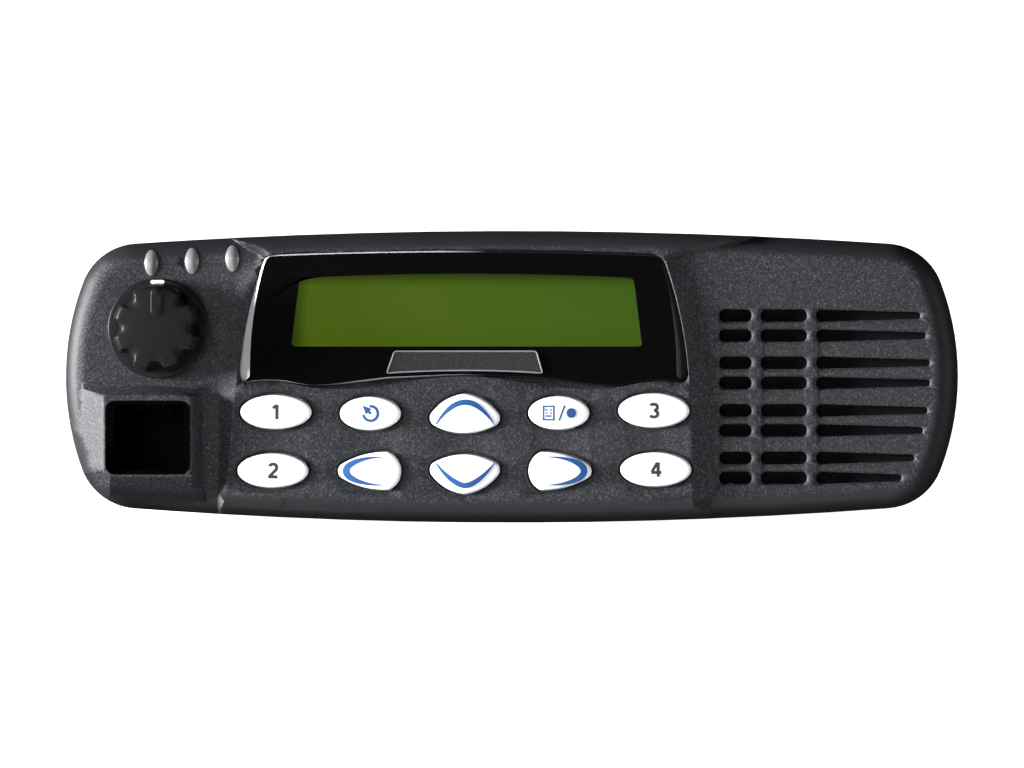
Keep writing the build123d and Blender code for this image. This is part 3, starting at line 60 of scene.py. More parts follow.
MM = 0.001
RECORD = frame["record"]
SLOT_OF = {part["node"]: part["material_slot"] for part in RECORD["subparts"]}
BODY_OF = {
    node: body for body, nodes in RECORD["behaviour"]["bodies"].items() for node in nodes
}
KEY_CENTRES = {
    joint["child"][: -len("_body")]: (joint["pos_m"][0], joint["pos_m"][2])
    for joint in RECORD["behaviour"]["joints"]
    if joint["type"] == "slide"
}
FRONT_Y = RECORD["behaviour"]["joints"][0]["pos_m"][1]
FACE_STEP = 1.6 * MM
SIDE_Y = FRONT_Y + FACE_STEP
KEY_LIP = 1.0 * MM
ARROWS = {"key_up": (0, 1), "key_down": (0, -1), "key_left": (-1, 0), "key_right": (1, 0)}
UPRIGHT_ARROW = (15.2 * MM, 7.95 * MM)
LYING_ARROW = (13.9 * MM, 7.65 * MM)
ARROW_CORNER = 1.7 * MM
LIP_THICK = 1.0 * MM
PLUNGER_R = 2.0 * MM
PLUNGER_LENGTH = 2.8 * MM
EDGE_R = 4.4 * MM
SCALLOP_R = 1.8 * MM
GRIP_R = 9.0 * MM
FACE_R = 8.4 * MM
LIGHT_CENTRES = ((-72.2 * MM, 52.05 * MM), (-64.1 * MM, 52.45 * MM), (-56.0 * MM, 52.95 * MM))
BOW_SIDE = 6.9 * MM      # how far the head's sides bow out
BOW_TOP = 3.0 * MM       # how far its top falls towards the ends
WINDOW_TOP_HALF = 39.5 * MM
WINDOW_LOW_HALF = 45.0 * MM
WINDOW_FOOT_Z = 27.6 * MM
WALL_START = 2.65        # the sweep turns up here, in metres behind the radio
WALL_TURN = 0.35
AIM = (0, -0.08, 0.03)   # the lamps point at the middle of the head
SENSOR = 36
AROUND = 96
WINDOW_AROUND = 720
KNOB_AROUND = 384


# ------------------------------------------------------------------ settings
class RadioFinish(PropertyGroup):
    housing: FloatVectorProperty(
        name="Housing", description="Dark grain of the moulded head", subtype="COLOR",
        default=(0.0080, 0.0088, 0.0104), min=0, max=1)
    # painted glint: the light colour given to the brightest points of the grain, standing in for light glancing off it
    spark: FloatVectorProperty(
        name="Grain highlight", description="Lit points of the grain", subtype="COLOR",
        default=(0.072, 0.076, 0.088), min=0, max=1)
    keys: FloatVectorProperty(
        name="Keys", description="Printed key caps", subtype="COLOR",
        default=(0.80, 0.82, 0.84), min=0, max=1)
    legend: FloatVectorProperty(
        name="Digits", description="Ink of the digits", subtype="COLOR",
        default=(0.018, 0.018, 0.021), min=0, max=1)
    symbol: FloatVectorProperty(
        name="Symbols", description="Ink of the small symbols", subtype="COLOR",
        default=(0.006, 0.055, 0.19), min=0, max=1)
    arrow: FloatVectorProperty(
        name="Arrows", description="Ink of the arrows", subtype="COLOR",
        default=(0.0008, 0.058, 0.215), min=0, max=1)
    display_left: FloatVectorProperty(
        name="Display, left", description="Backlit green on the left", subtype="COLOR",
        default=(0.078, 0.125, 0.004), min=0, max=1)
    display_right: FloatVectorProperty(
        name="Display, right", description="Backlit green on the right", subtype="COLOR",
        default=(0.040, 0.092, 0.005), min=0, max=1)
    grain: FloatProperty(
        name="Grain size", description="Mean spacing of the moulded grain", unit="LENGTH",
        default=0.27 * MM, min=0.05 * MM)


class RadioShape(PropertyGroup):
    key_dome: FloatProperty(
        name="Key dome", description="Rise of a key cap over its rim", unit="LENGTH", default=0.45 * MM)
    key_edge: FloatProperty(
        name="Key edge", description="Rounding of a key cap's rim", unit="LENGTH", default=0.7 * MM)
    ink: FloatProperty(
        name="Ink", description="Height of the printed ink", unit="LENGTH", default=0.03 * MM)
    digit_height: FloatProperty(
        name="Digit height", description="Size of the digits", unit="LENGTH", default=2.9 * MM)
    scallops: IntProperty(
        name="Scallops", description="Finger hollows round the knob, counting the pointer's place", default=8)
    scallop_depth: FloatProperty(
        name="Scallop depth", description="Depth of a finger hollow", unit="LENGTH", default=1.45 * MM)
    bevel: FloatProperty(
        name="Window bevel", description="Widest side bevel of the window", unit="LENGTH", default=2.0 * MM)


class RadioStage(PropertyGroup):
    floor: FloatVectorProperty(
        name="Floor", description="Pale studio sweep", subtype="COLOR", default=(0.9, 0.9, 0.9), min=0, max=1)
    distance: FloatProperty(
        name="Camera distance", description="Camera to the front of the radio", unit="LENGTH", default=2.0)
    width: FloatProperty(
        name="Framed width", description="Width that the frame takes in", unit="LENGTH", default=205.0 * MM)
    eye: FloatProperty(
        name="Camera height", description="Height of the camera", unit="LENGTH", default=27.8 * MM)
    key_light: FloatProperty(name="Key light", description="Power of the left softbox", unit="POWER", default=215.0)
    fill_light: FloatProperty(name="Fill light", description="Power of the front softbox", unit="POWER", default=19.0)
    rim_light: FloatProperty(
        name="Rim light", description="Power of the right and low cards", unit="POWER", default=9.0)
    air: FloatProperty(name="Air", description="Strength of the even light from all sides", default=0.05)


def finish_settings():
    return bpy.context.scene.radio_finish


# ------------------------------------------------------------------ shader graph
class Value:
    """A shader value. Arithmetic on it adds the Math nodes that work it out."""

    def __init__(self, finish, socket):
        self.finish = finish
        self.socket = socket

    def _math(self, operation, first, second=None):
        return self.finish.node("ShaderNodeMath", {"operation": operation}, {0: first, 1: second})

    def __add__(self, other):
        return self._math("ADD", self, other)

    def __sub__(self, other):
        return self._math("SUBTRACT", self, other)

    def __rsub__(self, other):
        return self._math("SUBTRACT", other, self)

    def __mul__(self, other):
        return self._math("MULTIPLY", self, other)

    def __truediv__(self, other):
        return self._math("DIVIDE", self, other)

    def __pow__(self, other):
        return self._math("POWER", self, other)

    __radd__ = __add__
    __rmul__ = __mul__

    def least(self, other):
        return self._math("MINIMUM", self, other)

    def most(self, other):
        return self._math("MAXIMUM", self, other)

    def sine(self):
        return self._math("SINE", self)


class Finish:
    """One procedural material, with helpers that add its nodes."""

    def __init__(self, name):
        self.material = bpy.data.materials.new(name)
        self.material.use_nodes = True
        self.tree = self.material.node_tree
        self.tree.nodes.clear()

    def node(self, kind, settings=None, sockets=None, output=0):
        """Adds a node: its settings first, then the values or links of its sockets."""
        made = self.tree.nodes.new(kind)
        for name, value in (settings or {}).items():
            if name == "stops":
                for index, (place, level) in enumerate(value):
                    elements = made.color_ramp.elements
                    stop = elements[index] if index < len(elements) else elements.new(place)
                    stop.position = place
                    stop.color = (level, level, level, 1)
            else:
                setattr(made, name, value)
        for name, value in (sockets or {}).items():
            if value is None:
                continue
            if isinstance(value, Value):
                self.tree.links.new(value.socket, made.inputs[name])
            elif isinstance(value, (int, float)) or len(value) != 3 or made.inputs[name].type != "RGBA":
                made.inputs[name].default_value = value
            else:
                made.inputs[name].default_value = (*value, 1)
        return Value(self, made.outputs[output] if made.outputs else None)

    def place(self):
        """Object coordinates in metres."""
        return self.node("ShaderNodeTexCoord", output="Object")

    def axes(self):
        """The three object coordinates as separate values."""
        split = self.node("ShaderNodeSeparateXYZ", None, {0: self.place()})
        return [Value(self, split.socket.node.outputs[index]) for index in range(3)]

    def noise(self, size, detail=2.0, rough=0.5, stretch=(1, 1, 1)):
        """Noise whose features are about size metres across, drawn out along an axis by stretch."""
        spread = self.node("ShaderNodeMapping", None, {"Vector": self.place(), "Scale": stretch})
        return self.node(
            "ShaderNodeTexNoise", None,
            {"Vector": spread, "Scale": 1 / size, "Detail": detail, "Roughness": rough})

    def cells(self, size):
        """Distance to the nearest of points scattered about size metres apart."""
        return self.node("ShaderNodeTexVoronoi", None, {"Vector": self.place(), "Scale": 1 / size})

    def ramp(self, value, *stops):
        """Maps a value through stops of (place, level)."""
        return self.node("ShaderNodeValToRGB", {"stops": stops}, {0: value})

    def blend(self, low, high, factor):
        """Colour between low and high by factor."""
        return self.node(
            "ShaderNodeMix", {"data_type": "RGBA"}, {"Factor": factor, 6: low, 7: high}, output=2)

    def bump(self, height, distance, strength):
        """Normal that follows a height over a distance in metres."""
        return self.node(
            "ShaderNodeBump", None, {"Height": height, "Distance": distance, "Strength": strength})

    def surface(self, sockets):
        """Ends the graph in a Principled shader."""
        shader = self.node("ShaderNodeBsdfPrincipled", None, sockets)
        self.node("ShaderNodeOutputMaterial", None, {"Surface": shader})
        return self.material


def tinted(colour, share):
    """A colour made lighter or darker by a share."""
    return tuple(min(1.0, channel * share) for channel in colour)


def inside_band(finish, start, end):
    """How far a point of the head is inside its smooth outer band: 0 within start millimetres of the
    head's outline, 1 beyond end. The outline is a pair of parabolas that stand for its four arcs."""
    low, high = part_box("front_housing")
    x, _, z = finish.axes()
    across = (x / (high[0] - BOW_SIDE)) ** 2.0
    up = ((z - (low[2] + high[2]) / 2) / (26.0 * MM)) ** 2.0
    below_top = float(high[2]) - BOW_TOP * across - z
    above_foot = z - 3.4 * MM * across
    right_of = float(high[0]) - BOW_SIDE * up - x
    left_of = x + float(high[0]) - BOW_SIDE * up + 1.6 * MM
    depth = below_top.least(above_foot - 0.7 * MM).least(right_of - 0.9 * MM).least(left_of)
    return finish.ramp(depth / (10 * MM), (start / 10, 0.0), (end / 10, 1.0))


def grained_moulding(name, colour, spark, grain, roughness=0.5, relief=0.12 * MM, banded=False):
    """Spark-eroded plastic: dark ground, painted glints on the brightest points of the grain, and a pebbled
    relief that stops short of a smooth outer band where banded is true; the band has no painted glints either."""
    finish = Finish(name)
    fine = finish.noise(grain, 2.0, 0.6)
    coarse = finish.noise(grain * 1.9, 2.0, 0.6)
    grainy = fine * 0.65 + coarse * 0.35
    # painted glints: the brightest grain points take the glint colour in the base colour
    points = finish.ramp(grainy, (0.44, 0.0), (0.54, 0.2), (0.66, 1.0))
    drift = finish.noise(30 * MM, 1.0)
    ground = finish.blend(tinted(colour, 0.85), tinted(colour, 1.15), drift)
    if banded:
        inside = inside_band(finish, 2.6, 3.9)
        points = points * inside
        grainy = grainy * inside
    return finish.surface({
        "Base Color": finish.blend(ground, spark, points),
        "Roughness": roughness + 0.12 * fine,
        "Specular IOR Level": 0.24,
        "Normal": finish.bump(grainy, relief, 0.8),
    })


def housing_grain(name):
    """The grained moulding of the head, by the settings."""
    settings = finish_settings()
    return grained_moulding(
        name, settings.housing[:], settings.spark[:], settings.grain, banded=True)


def moulded_plastic(name, colour, roughness=0.42, coat=0.0, specular=0.5):
    """Plain moulding: a faint flow pattern, soft dust in the gloss and very fine scuffs."""
    finish = Finish(name)
    flow = finish.noise(9 * MM, 2.0)
    scuff = finish.noise(0.6 * MM, 3.0, 0.6, (1, 1, 4))
    return finish.surface({
        "Base Color": finish.blend(tinted(colour, 0.9), tinted(colour, 1.12), flow),
        "Roughness": roughness - 0.05 + 0.12 * scuff,
        "Specular IOR Level": specular,
        "Coat Weight": coat,
        "Coat Roughness": 0.06,
        "Normal": finish.bump(scuff, 0.01 * MM, 0.4),
    })


def brushed_metal(name, colour, roughness=0.3, stretch=(1, 1, 12), grain=0.25 * MM):
    """Metal with fine drawn lines and a patchy tarnish."""
    finish = Finish(name)
    lines = finish.noise(grain, 3.0, 0.6, stretch)
    patch = finish.noise(7 * MM, 2.0)
    return finish.surface({
        "Base Color": finish.blend(tinted(colour, 0.78), tinted(colour, 1.1), patch * 0.6 + lines * 0.4),
        "Metallic": 1.0,
        "Roughness": roughness - 0.08 + 0.2 * lines,
        "Normal": finish.bump(lines, 0.01 * MM, 0.5),
    })


def painted_casting(name, colour, relief=0.06 * MM):
    """Satin black paint over cast metal: orange peel, dust and small bare chips."""
    finish = Finish(name)
    peel = finish.noise(0.9 * MM, 3.0, 0.6)
    dust = finish.noise(14 * MM, 3.0, 0.7)
    chips = finish.ramp(finish.noise(2.3 * MM, 4.0, 0.75), (0.74, 0.0), (0.76, 1.0))
    paint = finish.blend(tinted(colour, 0.85), tinted(colour, 1.35), dust)
    return finish.surface({
        "Base Color": finish.blend(paint, (0.32, 0.32, 0.33), chips * 0.5),
        "Metallic": 0.5 * chips,
        "Roughness": 0.42 + 0.16 * peel,
        "Normal": finish.bump(peel, relief, 0.5),
    })


def circuit_board(name, colour):
    """Solder mask over copper: square tracks, pads and a glassy coat."""
    finish = Finish(name)
    tracks = finish.node(
        "ShaderNodeTexVoronoi", {"feature": "F1", "distance": "MANHATTAN"},
        {"Vector": finish.place(), "Scale": 1 / (2.6 * MM)})
    lines = finish.ramp((tracks * 34.0).sine(), (0.55, 0.0), (0.62, 1.0))
    pads = finish.ramp(finish.cells(3.1 * MM), (0.10, 1.0), (0.13, 0.0))
    mask = finish.blend(colour, tinted(colour, 1.9), lines)
    return finish.surface({
        "Base Color": finish.blend(mask, (0.55, 0.5, 0.36), pads),
        "Metallic": 0.8 * pads,
        "Roughness": 0.28 + 0.1 * lines,
        "Coat Weight": 0.3,
        "Normal": finish.bump(lines + pads, 0.03 * MM, 0.6),
    })


def woven_cloth(name, colour, pitch=0.55 * MM):
    """Plain weave: two crossing sets of threads, with painted highlights on their crowns and painted shade between
    them.
    """
    finish = Finish(name)
    x, _, z = finish.axes()
    warp = (x * (2 * math.pi / pitch)).sine()
    weft = (z * (2 * math.pi / pitch)).sine()
    weave = finish.ramp(warp * weft * 0.5 + 0.5, (0.2, 0.0), (0.8, 1.0))
    return finish.surface({
        # painted light: the weave pattern lightens the base colour on the thread crowns and darkens it between them,
        # as well as driving the bump
        "Base Color": finish.blend(tinted(colour, 0.4), tinted(colour, 1.8), weave),
        "Roughness": 0.85,
        "Specular IOR Level": 0.15,
        "Normal": finish.bump(weave, 0.12 * MM, 0.9),
    })


def soft_rubber(name, colour):
    """Matt rubber with a bloom and a fine moulded tooth."""
    finish = Finish(name)
    bloom = finish.noise(6 * MM, 3.0, 0.7)
    tooth = finish.noise(0.3 * MM, 2.0)
    return finish.surface({
        "Base Color": finish.blend(tinted(colour, 0.8), tinted(colour, 1.6), bloom),
        "Roughness": 0.72 + 0.15 * tooth,
        "Normal": finish.bump(tooth, 0.03 * MM, 0.6),
    })


def fibrous(name, colour):
    """Pressed pulp or ferrite: mottled, matt, with short fibres or grains."""
    finish = Finish(name)
    fibres = finish.noise(0.5 * MM, 4.0, 0.7, (1, 3, 1))
    return finish.surface({
        "Base Color": finish.blend(tinted(colour, 0.6), tinted(colour, 1.5), fibres),
        "Roughness": 0.8 + 0.1 * fibres,
        "Normal": finish.bump(fibres, 0.05 * MM, 0.7),
    })


def key_plastic(name):
    """Silky white key cap: barely mottled, with a soft even gloss."""
    colour = finish_settings().keys[:]
    finish = Finish(name)
    cloud = finish.noise(5 * MM, 2.0)
    tooth = finish.noise(0.22 * MM, 2.0)
    return finish.surface({
        "Base Color": finish.blend(tinted(colour, 0.965), tinted(colour, 1.02), cloud),
        "Roughness": 0.36 + 0.08 * tooth,
        "Subsurface Weight": 0.08,
        "Subsurface Scale": 0.4 * MM,
        "Normal": finish.bump(tooth, 0.006 * MM, 0.5),
    })


def printed_ink(name, colour):
    """Pad-printed ink: faintly uneven and half matt."""
    finish = Finish(name)
    grain = finish.noise(0.15 * MM, 2.0)
    return finish.surface({
        "Base Color": finish.blend(tinted(colour, 0.9), tinted(colour, 1.15), grain),
        "Roughness": 0.45 + 0.1 * grain,
    })


def window_black(name):
    """Back-printed lens: deep black under a polished coat, with faint wiping marks."""
    finish = Finish(name)
    wipe = finish.noise(4 * MM, 3.0, 0.6, (1, 1, 3))
    return finish.surface({
        "Base Color": finish.blend((0.0012, 0.0012, 0.0013), (0.0022, 0.0022, 0.0025), wipe),
        "Roughness": 0.10 + 0.06 * wipe,
        "Specular IOR Level": 0.12,
    })


def edge_glow(name):
    """Bare edge of the clear window: painted highlight on its left half, where the left softbox falls, painted shade
    on its right half, and near black along its foot.
    """
    finish = Finish(name)
    low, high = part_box("display_window")
    x, _, z = finish.axes()
    across = finish.ramp((x - float(low[0])) / float(high[0] - low[0]), (0.45, 0.0), (0.55, 1.0))
    haze = finish.noise(3 * MM, 2.0)
    foot = finish.ramp((z - float(low[2])) / float(high[2] - low[2]), (0.02, 0.0), (0.06, 1.0))
    # painted light: the pale colour is a painted highlight for the left half of the edge, and the dark one is a
    # painted shade for the right half
    pale = finish.blend((0.42, 0.41, 0.44), (0.52, 0.51, 0.54), haze)
    return finish.surface({
        "Base Color": finish.blend((0.01, 0.01, 0.011), finish.blend(pale, (0.012, 0.012, 0.014), across), foot),
        "Roughness": 0.4 + 0.1 * haze,
        "Specular IOR Level": 0.15,
    })


def clear_pane(name):
    """Thin clear lens over the display: nearly invisible, with its own gloss."""
    finish = Finish(name)
    haze = finish.noise(12 * MM, 2.0)
    finish.material.surface_render_method = "BLENDED"
    return finish.surface({
        "Base Color": (0.02, 0.02, 0.02),
        "Roughness": 0.05 + 0.05 * haze,
        "Specular IOR Level": 0.2,
        "Alpha": 0.02 + 0.02 * haze,
    })


def display_cell(name):
    """Backlit display: green that drifts from left to right over a faint dot matrix, with a painted shadow along its
    left and top edges.
    """
    finish = Finish(name)
    low, high = (np.array(corner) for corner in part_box("lcd_glass"))
    x, _, z = finish.axes()
    across = (x - float(low[0])) / float(high[0] - low[0])
    cloud = finish.noise(22 * MM, 1.0)
    cell = 0.62 * MM
    dots = finish.ramp((x * (2 * math.pi / cell)).sine().most((z * (2 * math.pi / cell)).sine()),
                       (0.93, 0.0), (1.0, 1.0))
    settings = finish_settings()
    base = finish.blend(
        settings.display_left[:], settings.display_right[:], across * 0.8 + cloud * 0.25)
    lit = finish.blend(base, tinted(settings.display_right[:], 0.8), dots * 0.12)
    up = (z - float(low[2])) / float(high[2] - low[2])
    # painted shadow: the green falls to near black within a few millimetres of the left and top edges, as shade cast
    # by the window's rim on the recessed display; the glow takes it too
    painted_shadow_left = finish.ramp(across, (0.035, 0.25), (0.085, 1.0))
    painted_shadow_top = finish.ramp(1 - up, (0.07, 0.2), (0.22, 1.0))
    green = finish.blend((0.004, 0.007, 0.001), lit, painted_shadow_left * painted_shadow_top)
    return finish.surface({
        "Base Color": finish.blend(tinted(settings.display_right[:], 0.12), green, 0.08),
        "Roughness": 0.5,
        "Specular IOR Level": 0.05,
        "Emission Color": green,
        "Emission Strength": 0.9,
    })


def light_pipe(name):
    """Clear grey acrylic, lighter and darker in random patches."""
    finish = Finish(name)
    inner = finish.noise(1.6 * MM, 2.0)
    return finish.surface({
        "Base Color": finish.blend((0.12, 0.124, 0.13), (0.22, 0.227, 0.235), inner),
        "Roughness": 0.3 + 0.08 * inner,
        "Transmission Weight": 0.25,
        "IOR": 1.49,
    })


FINISHES = {
    "housing_plastic": (housing_grain,),
    # its second colour is the painted glint on the badge's grain
    "badge_grey": (
        grained_moulding, (0.0085, 0.009, 0.0105), (0.036, 0.038, 0.043), 0.3 * MM, 0.55),
    "window_black": (window_black,),
    "display_glass": (display_cell,),
    "light_guide": (moulded_plastic, (0.62, 0.68, 0.48), 0.3),
    "holder_plastic": (moulded_plastic, (0.012, 0.012, 0.013)),
    "pipe_clear": (light_pipe,),
    "led_body": (moulded_plastic, (0.7, 0.68, 0.52), 0.25, 0.4),
    "knob_plastic": (moulded_plastic, (0.0052, 0.0056, 0.0064), 0.42, 0.0, 0.12),
    "shaft_brass": (brushed_metal, (0.62, 0.45, 0.2), 0.28, (1, 14, 1)),
    "control_metal": (brushed_metal, (0.52, 0.52, 0.52)),
    "key_white": (key_plastic,),
    "mat_rubber": (soft_rubber, (0.03, 0.03, 0.032)),
    "contact_metal": (brushed_metal, (0.7, 0.68, 0.6), 0.25),
    "board_green": (circuit_board, (0.008, 0.09, 0.03)),
    "screw_steel": (brushed_metal, (0.42, 0.42, 0.41), 0.34, (6, 1, 1)),
    "socket_plastic": (moulded_plastic, (0.0015, 0.0015, 0.0016), 0.8, 0.0, 0.1),
    "contact_gold": (brushed_metal, (0.82, 0.58, 0.24), 0.22),
    # the cloth is near black: its own black, darkened further as painted shade in the grille slots
    "speaker_fabric": (woven_cloth, (0.0012, 0.0012, 0.0013)),
    "gasket_foam": (soft_rubber, (0.015, 0.015, 0.015)),
    "speaker_steel": (painted_casting, (0.04, 0.04, 0.042)),
    "cone_paper": (fibrous, (0.035, 0.032, 0.03)),
    "magnet_ferrite": (fibrous, (0.04, 0.04, 0.043)),
    "clip_steel": (brushed_metal, (0.5, 0.5, 0.5), 0.3),
    "ribbon_film": (moulded_plastic, (0.42, 0.19, 0.03), 0.3, 0.5),
    "chassis_casting": (painted_casting, (0.020, 0.020, 0.021), 0.1 * MM),
    "cover_casting": (painted_casting, (0.018, 0.018, 0.019)),
    "chip_black": (moulded_plastic, (0.012, 0.012, 0.013), 0.55),
    "shield_tin": (brushed_metal, (0.66, 0.66, 0.65), 0.3, (10, 1, 1)),
    "capacitor_sleeve": (moulded_plastic, (0.012, 0.013, 0.035), 0.25, 0.3),
    "coil_ferrite": (fibrous, (0.07, 0.06, 0.05)),
    "crystal_case": (brushed_metal, (0.72, 0.72, 0.72), 0.22),
    "antenna_nickel": (brushed_metal, (0.68, 0.66, 0.6), 0.2, (1, 10, 1)),
    "insulator_white": (moulded_plastic, (0.78, 0.78, 0.74), 0.4),
}
_made = {}


def finish_for(slot):
    """The material of a slot, made once."""
    if slot not in _made:
        if slot not in FINISHES:
            raise RuntimeError(f"no finish is written for the slot {slot}")
        maker, *values = FINISHES[slot]
        _made[slot] = maker(slot, *values)
    return _made[slot]


# ------------------------------------------------------------------ meshes
def ring(outline, y):
    """Ring of (x, y, z) points from an outline of (x, z) points; y is one depth, or one per point."""
    depth = np.broadcast_to(np.asarray(y, dtype=float), (len(outline),))
    return np.stack((outline[:, 0], depth, outline[:, 1]), axis=-1)


def solid(rings, closed=False):
    """Points and faces of the solid through a stack of closed rings, shape (rings, points, 3).

    Quads join point (i, j) to (i + 1, j) and (i, j + 1). The end rings are closed by fans to their
    middles, or joined to each other when closed is true. The faces are turned outwards by the sign of
    the volume, the sum of the triple products of the faces' corners.
    """
    rings = np.asarray(rings, dtype=float)
    count, around = rings.shape[:2]
    points = rings.reshape(-1, 3)
    row = np.arange(count if closed else count - 1)[:, None]
    column = np.arange(around)[None, :]
    above = (row + 1) % count
    beside = (column + 1) % around
    corners = (row * around + column, row * around + beside, above * around + beside, above * around + column)
    quads = np.stack(corners, axis=-1).reshape(-1, 4)
    fans = np.empty((0, 3), dtype=int)
    if not closed:
        points = np.concatenate((points, rings[:1].mean(axis=1), rings[-1:].mean(axis=1)))
        first = count * around
        here = np.arange(around)
        after = (here + 1) % around
        last = (count - 1) * around
        fans = np.concatenate((
            np.stack((after, here, np.full(around, first)), axis=-1),
            np.stack((last + here, last + after, np.full(around, first + 1)), axis=-1)))
    triangles = np.concatenate((quads[:, :3], quads[:, (0, 2, 3)], fans))
    a, b, c = (points[triangles[:, corner]] - points.mean(axis=0) for corner in range(3))
    if np.einsum("ij,ij->i", a, np.cross(b, c)).sum() < 0:
        quads, fans = quads[:, ::-1], fans[:, ::-1]
    return points, quads, fans


def build(name, solids, material, node, angle=32.0):
    """Puts several solids into the scene as one smooth-shaded piece that goes with a CAD node."""
    points, faces, start = [], [], 0
    for some_points, quads, fans in solids:
        points.append(some_points)
        faces += (quads + start).tolist() + (fans + start).tolist()
        start += len(some_points)
    mesh = bpy.data.meshes.new(name)
    mesh.from_pydata(np.concatenate(points).tolist(), [], faces)
    mesh.update()
    return link(name, mesh, material, node, angle)


def link(name, mesh, material, node, angle):
    """Links a mesh as a finished piece with its node's body and the given material: smooth where its faces turn by
    less than an angle in degrees."""
    mesh.shade_smooth()
    mesh.set_sharp_from_angle(angle=math.radians(angle))
    mesh.materials.clear()
    mesh.materials.append(material)
    piece = bpy.data.objects.new(name, mesh)
    bpy.context.scene.collection.objects.link(piece)
    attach(piece, BODY_OF[node])
    return piece


def refined(node, angle=32.0):
    """A merged copy of a CAD node, shaded smooth by area so that flat faces stay flat, in its place."""
    shell = bmesh.new()
    shell.from_mesh(frame["nodes"][node].data)
    bmesh.ops.remove_doubles(shell, verts=shell.verts, dist=0.001 * MM)
    mesh = bpy.data.meshes.new(f"{node}_shell")
    shell.to_mesh(mesh)
    shell.free()
    piece = link(f"{node}_shell", mesh, finish_for(SLOT_OF[node]), node, angle)
    weighted = piece.modifiers.new("even shading", "WEIGHTED_NORMAL")
    weighted.keep_sharp = True
    weighted.weight = 100
    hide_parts(node)
    return piece


def turn(count=AROUND, start=0.0):
    """Unit (x, z) vectors evenly spaced round the circle: cosine across, sine up."""
    angle = np.linspace(0, 2 * math.pi, count, endpoint=False) + start
    return np.stack((np.cos(angle), np.sin(angle)), axis=-1)


def evened(outline, count):
    """Closed outline resampled to points at equal steps along its length."""
    closed = np.concatenate((outline, outline[:1]))
    length = np.concatenate(([0], np.cumsum(np.linalg.norm(np.diff(closed, axis=0), axis=1))))
    steps = np.linspace(0, length[-1], count, endpoint=False)
    return np.stack([np.interp(steps, length, closed[:, axis]) for axis in (0, 1)], axis=-1)


def rounded(outline, radius, count):
    """Closed outline with its corners rounded: each point becomes the mean of its neighbours within
    about one radius either way along the outline, weighted by a cosine bell."""
    outline = evened(outline, count)
    step = np.linalg.norm(outline[1] - outline[0])
    reach = max(1, int(round(radius / step)))
    shifts = np.arange(-reach, reach + 1)
    bell = 1 + np.cos(math.pi * shifts / (reach + 1))
    stack = np.stack([np.roll(outline, shift, axis=0) for shift in shifts])
    return np.einsum("s,sij->ij", bell / bell.sum(), stack)


def arc_points(start, middle, end, count=40):
    """Points on the circle through three points, from start to end by way of middle."""
    centre, radius = circle_through(start, middle, end)
    first, via, last = (math.atan2(*(np.subtract(point, centre)[::-1])) for point in (start, middle, end))
    forward = (last - first) % (2 * math.pi)
    if (via - first) % (2 * math.pi) > forward:
        forward -= 2 * math.pi
    angle = first + forward * np.linspace(0, 1, count)
    return centre + radius * np.stack((np.cos(angle), np.sin(angle)), axis=-1)


def circle_through(first, second, third):
    """Centre and radius of the circle through three points, from its two mid-perpendiculars."""
    rows = 2 * np.array((np.subtract(second, first), np.subtract(third, first)))
    squares = np.array((np.dot(second, second), np.dot(third, third))) - np.dot(first, first)
    centre = np.linalg.solve(rows, squares)
    return centre, float(np.linalg.norm(np.subtract(first, centre)))


# ------------------------------------------------------------------ keys
def arrow(direction, size):
    """Rounded arrow key about its middle: two bowed flanks that meet in a tip, and a bowed base.

    Each side is a circle drawn in by the corner radius. A ray from inside leaves the shape at the nearest
    of the three circles, and the base's circle only counts for rays that go back. The outline is then the
    point of that inner shape furthest along each direction, plus the corner radius along the direction,
    which rounds the corners.
    """
    upright = direction[0] == 0
    along, across = (size[1] / 2, size[0] / 2) if upright else (size[0] / 2, size[1] / 2)
    shoulder, flank, bow = (-0.36, 0.56, 0.60) if upright else (-0.66, 0.30, 0.72)
    tip = (along, 0.0)
    sides = (
        (tip, (along * flank, across * bow), (along * shoulder, across)),
        (tip, (along * flank, -across * bow), (along * shoulder, -across)),
        ((along * shoulder, across), (-along, 0.0), (along * shoulder, -across)),
    )
    rays = turn(720)
    inside = np.array((along * shoulder / 2, 0.0))
    reach = []
    for side in sides:
        centre, radius = circle_through(*side)
        ahead = rays @ (centre - inside)
        reach.append(ahead + np.sqrt(ahead**2 - np.sum((centre - inside) ** 2) + (radius - ARROW_CORNER) ** 2))
    reach[-1] = np.where(rays[:, 0] > 0, along * 2, reach[-1])
    inner = inside + rays * np.min(reach, axis=0)[:, None]
    outward = turn()
    outline = inner[np.argmax(outward @ inner.T, axis=1)] + outward * ARROW_CORNER
    forward = np.array(direction, dtype=float)
    aside = np.array((-forward[1], forward[0]))
    return outline[:, :1] * forward + outline[:, 1:] * aside


def key_outline(name):
    """Outline of a key cap about its middle: an arrow, or an ellipse inside the retaining lip."""
    if name in ARROWS:
        return arrow(ARROWS[name], UPRIGHT_ARROW if ARROWS[name][0] == 0 else LYING_ARROW)
    low, high = (np.array(corner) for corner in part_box(name))
    half = (high - low) / 2 - KEY_LIP
    return turn() * (half[0], half[2])


def cap_depth(name, points):
    """Depth of a key's domed face at (x, z) points about its middle: the crown, plus the dome height
    times the square of the share of the way from the middle to the outline."""
    outline = key_outline(name)
    angle = np.arctan2(outline[:, 1], outline[:, 0])
    order = np.argsort(angle)
    reach = np.interp(
        np.arctan2(points[:, 1], points[:, 0]), angle[order], np.linalg.norm(outline, axis=1)[order],
        period=2 * math.pi)
    share = np.linalg.norm(points, axis=1) / reach
    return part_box(name)[0][1] + bpy.context.scene.radio_shape.key_dome * share**2


